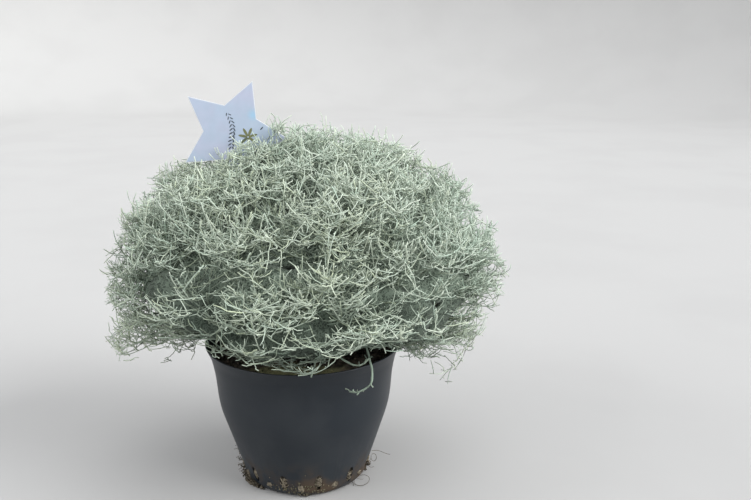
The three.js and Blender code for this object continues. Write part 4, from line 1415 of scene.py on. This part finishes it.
def lumps(middles: Array, sizes: Array, hues: Array, random: np.random.Generator) -> Surface:
    """Rough crumbs: corners of a rounded cube, each pushed in or out at random and turned about.

    Args:
        middles: places, (count, 3).
        sizes: radii, (count,).
        hues: hue of each crumb, (count,).
        random: the draw to use.

    Returns:
        All crumbs as one surface.
    """
    count, each = len(middles), len(LUMP_CORNERS)
    first = unit(random.normal(size=(count, 3)))
    second = square_to(random.normal(size=(count, 3)), first)
    axes = np.stack([first, second, np.cross(first, second)], axis=1)
    stretch = random.uniform(0.7, 1.3, (count, each, 1))
    corners = middles[:, None] + sizes[:, None, None] * stretch * (unit(LUMP_CORNERS) @ axes)
    faces = (lump_faces() + each * np.arange(count)[:, None, None]).reshape(-1, 3)
    values = np.stack([np.full(count * each, 0.5), np.repeat(hues, each)], -1)
    return Surface(corners.reshape(-1, 3), faces, values)


@dataclass
class Soil:
    """Root ball of peat: a lining that fits the pot, under a crumbly top with moss in front."""

    material: Material
    top: float = 134.0
    gap: float = 0.3
    sides: int = 144
    rings: int = 28
    moss_at: Span = (0.0, -66.0)
    moss_half: Span = (46.0, 18.0)
    crumb_count: int = 420
    crumb_size: Span = (0.7, 2.0)
    seed: int = 5

    def relief(self, x: Array, y: Array) -> Array:
        """Height of the top's lumps: long waves, shorter ones and a fine crumble."""
        long = 2.2 * np.sin(0.085 * x) * np.cos(0.085 * y) + 0.9 * np.sin(0.21 * (x - y))
        short = 0.9 * np.sin(0.43 * x + 0.31 * y) * np.sin(0.52 * y - 0.2 * x)
        fine = 0.45 * np.sin(1.13 * x - 0.8 * y) * np.cos(0.9 * y + 1.2 * x)
        return long + short + fine

    def mossiness(self, x: Array, y: Array) -> Array:
        """1 in the middle of the mossy patch and 0 outside it, with a wavy edge."""
        away = np.hypot((x - self.moss_at[0]) / self.moss_half[0], (y - self.moss_at[1]) / self.moss_half[1])
        return smooth_step(1.15, 0.7, away + 0.15 * np.sin(0.35 * x) * np.cos(0.4 * y))

    def build(self, pot: Pot) -> None:
        """Makes the root ball and the crumbs that lie on it."""
        inner_radius = np.array([radius for radius, _ in pot.outline]) - pot.wall - self.gap
        levels = np.array([level for _, level in pot.outline])
        edge = float(np.interp(self.top, levels, inner_radius))
        lining = [(0, pot.wall + self.gap), (pot.foot_radius - 2, pot.wall + self.gap)]
        lining.append((pot.corner_radius - pot.wall - self.gap, pot.corner_rise + 1))
        lining += [(radius, level) for radius, level in zip(inner_radius, levels) if level < self.top]
        top = np.stack([edge * np.linspace(1, 0, self.rings), np.full(self.rings, self.top)], -1)
        body = revolved(np.concatenate([lining, top]), self.sides)
        x, y, z = body.corners.T
        on_top = z > self.top - self.gap
        inside = smooth_step(edge, edge - 6, np.hypot(x, y))
        body.values = np.stack([0.5 + 0.3 * np.sin(x) * np.cos(y), on_top * self.mossiness(x, y)], -1)
        body.corners[:, 2] += on_top * self.relief(x, y) * inside
        dress(body.to_object("soil_ball", self.material), Slot.SOIL, "soil")
        dress(self.crumbs(edge).to_object("soil_crumbs", self.material), Slot.SOIL)

    def crumbs(self, edge: float) -> Surface:
        """Small peat crumbs scattered evenly over the top."""
        random = np.random.default_rng(self.seed)
        radius = np.sqrt(random.uniform(0.02, 1, self.crumb_count)) * (edge - 3)
        azimuth = random.uniform(0, FULL_TURN, self.crumb_count)
        x, y = radius * np.cos(azimuth), radius * np.sin(azimuth)
        middles = np.stack([x, y, self.top + self.relief(x, y) + 0.4], -1)
        sizes = random.uniform(*self.crumb_size, self.crumb_count)
        return lumps(middles, sizes, self.mossiness(x, y) * 0.8, random)


@dataclass
class Label:
    """Printed film and a plain motif on both faces of the star, whose white plastic is the CAD node.

    The motif is a dark curved sprig of small leaves, an olive rosette beside it and a few dark seeds. Places
    on the film are measured from the star's centre, to the right and up.
    """

    star: Star
    plastic: Material
    wash: Material
    ink: Material
    olive: Material
    margin: float = 0.5
    film: float = 0.12
    print_height: float = 0.18
    sprig_pairs: int = 13
    petals: int = 7
    petal_length: float = 8.6
    rosette_at: Span = (15.0, -3.0)
    rosette_radius: float = 4.9
    seeds: tuple[Span, ...] = ((28.0, 5.0), (34.0, -4.0), (30.0, -12.0))
    seed_length: float = 4.0

    def plate(self, outline: Array, side: float, thickness: float) -> Surface:
        """Closed thin plate just proud of one face.

        Args:
            outline: points round it, and its middle last, (n, 2).
            side: -1 for the front face and 1 for the back one.
            thickness: how far it stands out.

        Returns:
            The plate.
        """
        near = self.star.centre[1] + side * (self.star.thickness / 2 + 0.02)
        x, z = outline[:, 0] + self.star.centre[0], outline[:, 1] + self.star.centre[2]
        front, back = (np.stack([x, np.full(len(x), y), z], -1) for y in (near, near + side * thickness))
        corners = np.concatenate([front[:-1], back[:-1], front[-1:], back[-1:]])
        faces = capped_faces(2, len(outline) - 1)
        return Surface(corners, faces[:, ::-1] if side > 0 else faces)

    def film_plate(self, side: float) -> Surface:
        """Film a little smaller than the star."""
        number = np.arange(2 * self.star.points)
        angle = self.star.turn + FULL_TURN * number / len(number)
        wide = self.star.radius - self.margin * 3.2
        narrow = self.star.radius * self.star.inner_share - self.margin
        radius = np.where(number % 2 == 0, wide, narrow)
        flat = np.stack([radius * np.cos(angle), radius * np.sin(angle)], -1)
        return self.plate(np.concatenate([flat, [(0.0, 0.0)]]), side, self.film)

    def leaf(self, middle: Span, turn: float, length: float, side: float) -> Surface:
        """One plain leaf of the motif: two arcs that meet in points."""
        along = np.linspace(0, math.pi, 9)
        half_width = 0.15 * length * np.sin(along)
        run = -length / 2 * np.cos(along)
        upper = np.stack([run, half_width], -1)[-2:0:-1]
        outline = np.concatenate([np.stack([run, -half_width], -1), upper, [(0.0, 0.0)]])
        turned = outline @ np.array([[math.cos(turn), math.sin(turn)], [-math.sin(turn), math.cos(turn)]])
        return self.plate(turned + middle, side, self.print_height)

    def sprig(self, side: float) -> list[Surface]:
        """Leaves in pairs along a bent line that runs down the middle of the star."""
        share = np.repeat(np.linspace(0, 1, self.sprig_pairs), 2)
        hand = np.where(np.arange(len(share)) % 2 == 0, 1.0, -1.0)
        x = -3 + 5.5 * share + 2.2 * np.sin(6 * share) + 1.5 * hand
        z = 18 - 42 * share
        turns = math.radians(-90) + hand * math.radians(38) + 0.5 * np.cos(6 * share)
        lengths = 4.6 - 1.2 * np.abs(2 * share - 1)
        return [self.leaf((x[i], z[i]), turns[i], lengths[i], side) for i in range(len(share))]

    def rosette(self, side: float) -> list[Surface]:
        """Petals round a middle, to the right of the sprig."""
        turns = FULL_TURN * (np.arange(self.petals) + 0.3) / self.petals
        middles = self.rosette_at + self.rosette_radius * np.stack([np.cos(turns), np.sin(turns)], -1)
        return [self.leaf(middle, turn, self.petal_length, side) for middle, turn in zip(middles, turns)]

    def build(self) -> None:
        """Dresses the CAD label and adds the films and the motif."""
        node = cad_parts["label"]
        node.data.materials.clear()
        node.data.materials.append(self.plastic)
        films, dark, pale = [], [], []
        for side in (-1, 1):
            films.append(self.film_plate(side))
            dark += self.sprig(side) + [self.leaf(seed, 0.8, self.seed_length, side) for seed in self.seeds]
            pale += self.rosette(side)
        inks = (("print", films, self.wash), ("sprig", dark, self.ink), ("rosette", pale, self.olive))
        for name, parts, ink in inks:
            dress(Surface.joined(parts).to_object(f"label_{name}", ink, sharp=30), Slot.LABEL)


@dataclass
class BaseRoots:
    """Roots that show in the drainage openings and hang out beside the foot, with clods of soil.

    Attributes:
        strands: roots in an opening, more of them in front.
        hair_clusters: azimuth in degrees, height and number of fine roots.
        clod_clusters: azimuth and its spread in degrees, height, how far they lie out, number and mossiness.
        least_height: the roots' least height above the floor, and the clods' one.
    """

    root: Material
    soil: Material
    pot: Pot
    seed: int = 23
    strands: int = 20
    hair_clusters: tuple[tuple[int, int, int], ...] = (
        (-179, 20, 8), (-172, 12, 12), (-164, 6, 16), (-154, 4, 14), (-144, 3, 8), (-9, 9, 6), (-35, 3, 4),
    )
    clod_clusters: tuple[tuple[float, ...], ...] = (
        (-164, 6, 5, 3.0, 50, 0.02), (-147, 9, 2.5, 6.0, 200, 0.05), (-176, 3, 17, 1.5, 14, 0.02),
        (-8, 4, 8, 2.5, 34, 0.02), (-87, 3, 1, 2.0, 16, 0.05), (-84, 11, 9, 0.2, 80, 0.28),
        (-106, 6, 9, 0.2, 30, 0.1),
    )
    least_height: Span = (0.6, 0.1)

    def slot_roots(self, random: np.random.Generator) -> Surface:
        """Curled strands packed in each opening, on arcs that bulge out of it, most of all in front."""
        azimuths, sizes = self.pot.openings()
        frontal = smooth_step(0.7, 1.0, np.cos(azimuths - FRONT_AZIMUTH))
        number = np.repeat(np.arange(len(azimuths)), np.round(self.strands * (0.4 + frontal)).astype(int))
        count = len(number)
        azimuth = azimuths[number] + random.uniform(-1.5, 1.5, count) / self.pot.foot_radius
        spread = np.where(number % 2 == 1, 5.5, 2.0)
        height = (sizes[number, 2] + random.uniform(-1, 1, count) * spread)[:, None]
        share = np.linspace(0, 1, 9)[None, :]
        turn = random.uniform(-1.5, 1.5, count)[:, None]
        along = (share - 0.5) * 2 * random.uniform(1.8, 4.2, count)[:, None]
        wave = 1.4 * np.sin(share * 7 + random.uniform(0, 6, count)[:, None])
        rise = np.maximum(height + along * np.sin(turn) + wave * np.cos(turn), 0.8)
        bulge = 2.7 * np.sin(math.pi * share) * random.uniform(0.4, 1, count)[:, None]
        out = self.pot.wall_radius(rise) - 1.4 + bulge
        run = along * np.cos(turn) - wave * np.sin(turn)
        outward, aside = (level_direction(azimuth + quarter)[:, None] for quarter in (0, math.pi / 2))
        points = outward * out[..., None] + aside * run[..., None] + UP * rise[..., None]
        radii = np.full(rise.shape, 0.26) * random.uniform(0.6, 1.5, count)[:, None]
        hues = random.uniform(0.2, 0.8, count)
        return tubes(points, radii, level_direction(azimuth), 4, np.full(rise.shape, 0.5), hues)

    def hairs(self, random: np.random.Generator) -> Surface:
        """Fine curly roots that hang out of the wall and the clods, most at the left of the foot.

        Each one follows root + L t h + a (cos(k t) - 1) b + a sin(k t) s, a curl round its heading h.
        """
        places = np.array([row[:2] for row in self.hair_clusters for _ in range(row[2])], float)
        count, steps = len(places), 12
        azimuth = np.radians(places[:, 0] + random.normal(size=count) * 3)
        height = np.maximum(places[:, 1] + random.normal(size=count) * 2.5, 1.5)
        outward = level_direction(azimuth)
        root = outward * (self.pot.wall_radius(height) - 0.5)[:, None] + UP * height[:, None]
        heading = unit(outward + 0.7 * random.normal(size=(count, 3)) * (1, 1, 0.6))
        heading = np.where(dot(heading, outward) < 0.1, outward, heading)
        bend = square_to(random.normal(size=(count, 3)), heading)[:, None]
        third = np.cross(heading[:, None], bend)
        spans = ((2, 9), (0.6, 2.6), (2, 8))
        length, curl, winding = (random.uniform(*span, count)[:, None, None] for span in spans)
        share = np.linspace(0, 1, steps)[None, :, None]
        points = root[:, None] + length * share * heading[:, None]
        points = points + curl * ((np.cos(share * winding) - 1) * bend + np.sin(share * winding) * third)
        points[..., 2] = np.maximum(points[..., 2], self.least_height[0])
        radii = np.full((count, steps), 0.2) * random.uniform(0.6, 1.3, count)[:, None]
        return tubes(points, radii, third[:, 0], 4, np.full((count, steps), 0.2), np.full(count, 0.05))

    def loops(self) -> Surface:
        """Two thin root loops and a nearly straight root at the right of the foot."""
        share = np.linspace(0, 1, 26)
        turn = math.radians(150) + share * math.radians(345)
        circle = (58 + 7.8 * np.cos(turn), -32 + 8.5 * np.sin(turn), 2.4 + 1.6 * np.sin(turn + 0.8))
        small = (70 + 2.8 * np.cos(turn), -6 + 2 * np.sin(turn), 14 + 3.2 * np.sin(turn))
        straight = (68 + 19 * share, -5 + 0 * share, 21 - 3 * share + 1.2 * np.sin(share * 5))
        points = np.stack([np.stack(curve, -1) for curve in (circle, small, straight)])
        axes = np.array([(0.0, 0.3, 1.0), (0.0, 1.0, 0.2), (0.0, 1.0, 0.0)])
        shape = points.shape[:2]
        return tubes(points, np.full(shape, 0.24), axes, 5, np.full(shape, 0.2), np.full(len(points), 0.05))

    def clods(self, random: np.random.Generator) -> Surface:
        """Clods of soil at the foot: a dark heap at the left, one at the right and mossy dirt in front."""
        rows = np.array([row for row in self.clod_clusters for _ in range(row[4])], float)
        middle, spread, level, out, _, moss = rows.T
        count = len(rows)
        azimuth = np.radians(middle + random.normal(size=count) * spread)
        height = np.clip(level + random.normal(size=count) * (1 + level * 0.35), 0.8, 60)
        radius = self.pot.wall_radius(height) + random.uniform(-0.3, 1, count) * out
        middles = level_direction(azimuth) * radius[:, None] + UP * height[:, None]
        sizes = random.uniform(0.4, 1.6, count) * np.where(out < 1, 0.6, 1.0)
        made = lumps(middles, sizes, moss, random)
        made.corners[:, 2] = np.maximum(made.corners[:, 2], self.least_height[1])
        return made

    def build(self) -> None:
        """Makes the roots and the clods."""
        random = np.random.default_rng(self.seed)
        dress(self.slot_roots(random).to_object("drain_roots", self.root), Slot.SOIL)
        dark = Surface.joined([self.hairs(random), self.loops()])
        dress(dark.to_object("foot_roots", self.soil), Slot.SOIL)
        dress(self.clods(random).to_object("foot_clods", self.soil), Slot.SOIL)


@dataclass(frozen=True)
class Lamp:
    """Far soft lamp.

    Attributes:
        name: its name.
        azimuth: degrees from the right, counterclockwise as seen from above.
        elevation: degrees above the floor.
        strength: its irradiance, in watts per square metre.
        spread: its width as seen from the object, in degrees.
    """

    name: str
    azimuth: float
    elevation: float
    strength: float
    spread: float = 45.0

    def build(self) -> None:
        """Makes the lamp."""
        light = bpy.data.lights.new(self.name, "SUN")
        light.energy = self.strength
        light.angle = math.radians(self.spread)
        holder = bpy.data.objects.new(self.name, light)
        holder.rotation_euler = (math.radians(90 - self.elevation), 0, math.radians(self.azimuth + 90))
        bpy.context.scene.collection.objects.link(holder)


@dataclass(frozen=True)
class Studio:
    """Plain pale floor that curves up far away, soft lights and the camera.

    Attributes:
        floor_radius, cove, wall_height: the floor's shape, in metres.
        sky, sky_strength: colour and strength of the light from all round.
        camera_at: the camera's place, in metres.
        pitch_down: how far it looks down, in degrees.
        lens, sensor: focal length and sensor width, in millimetres.
    """

    floor_radius: float = 4.0
    cove: float = 1.0
    wall_height: float = 1.7
    lamps: tuple[Lamp, ...] = (
        Lamp("front", -98, 36, 0.7),
        Lamp("right", -21, 27, 5.2),
        Lamp("left", -158, 30, 1.6),
        Lamp("top", 30, 80, 0.95),
    )
    sky: Triple = (0.86, 0.88, 0.92)
    sky_strength: float = 1.07
    camera_at: Triple = (0.0719, -0.812, 0.4425)
    pitch_down: float = 14.4
    lens: float = 41.08
    sensor: float = 36.0

    def build(self) -> None:
        """Makes the floor, the lights, the world and the camera."""
        scene = bpy.context.scene
        self.floor()
        for lamp in self.lamps:
            lamp.build()
        scene.world = bpy.data.worlds.new("studio")
        scene.world.use_nodes = True
        backdrop = scene.world.node_tree.nodes["Background"]
        Wiring(scene.world.node_tree).fill(backdrop, {"Color": self.sky, "Strength": self.sky_strength})
        scene.view_settings.view_transform = "Standard"
        camera = bpy.data.cameras.new("camera")
        camera.lens = self.lens
        camera.sensor_width = self.sensor
        camera.clip_start = 0.02
        placed = bpy.data.objects.new("camera", camera)
        placed.location = self.camera_at
        placed.rotation_euler = (math.radians(90 - self.pitch_down), 0, 0)
        scene.collection.objects.link(placed)
        scene.camera = placed

    def floor(self) -> None:
        """Floor and cove: a profile turned about the pot's axis, facing inwards and open at the top."""
        turn = np.linspace(0, math.pi / 2, 12)
        bend = np.stack([self.floor_radius + self.cove * np.sin(turn), self.cove * (1 - np.cos(turn))], -1)
        flat = np.stack([np.linspace(0.05, self.floor_radius, 12), np.zeros(12)], -1)
        wall = [(self.floor_radius + self.cove, self.wall_height)]
        profile = np.concatenate([[(0.0, 0.0)], flat, bend[1:], wall, [(0.0, self.wall_height)]]) / MILLIMETRE
        made = revolved(profile, 96)
        made.faces = made.faces[(made.faces < len(made.corners) - 1).all(axis=1)][:, ::-1]
        finish = PlainFinish("pale_floor", (0.335, 0.333, 0.328), (0.325, 0.323, 0.318), 3.0, 0.9, 0.0)
        made.to_object("floor", finish.build())


FINISHES = (
    PlainFinish("label_plastic", (0.56, 0.58, 0.62), (0.52, 0.55, 0.60), 60.0, 0.45, 0.05),
    WashFinish(),
    PlainFinish("label_ink", (0.035, 0.045, 0.060), (0.055, 0.065, 0.080), 60.0, 0.5, 0.05),
    PlainFinish("label_olive", (0.135, 0.145, 0.065), (0.075, 0.095, 0.060), 90.0, 0.5, 0.05),
)
ROOT_FINISH = PlainFinish("pale_root", (0.21, 0.18, 0.13), (0.12, 0.10, 0.07), 300.0, 0.8)


def main() -> None:
    """Builds each part of the object in order."""
    logging.basicConfig(level=logging.INFO, format="%(name)s %(message)s", stream=sys.stdout)
    make_groups()
    Studio().build()
    star = Star()
    pot = Pot(PotFinish().build())
    pot.build()
    peat = SoilFinish().build()
    Soil(peat).build(pot)
    Label(star, *(finish.build() for finish in FINISHES)).build()
    BaseRoots(ROOT_FINISH.build(), peat, pot).build()
    Bush(BushForm(), star, TwigFinish().build()).build()


if __name__ == "__main__":
    main()
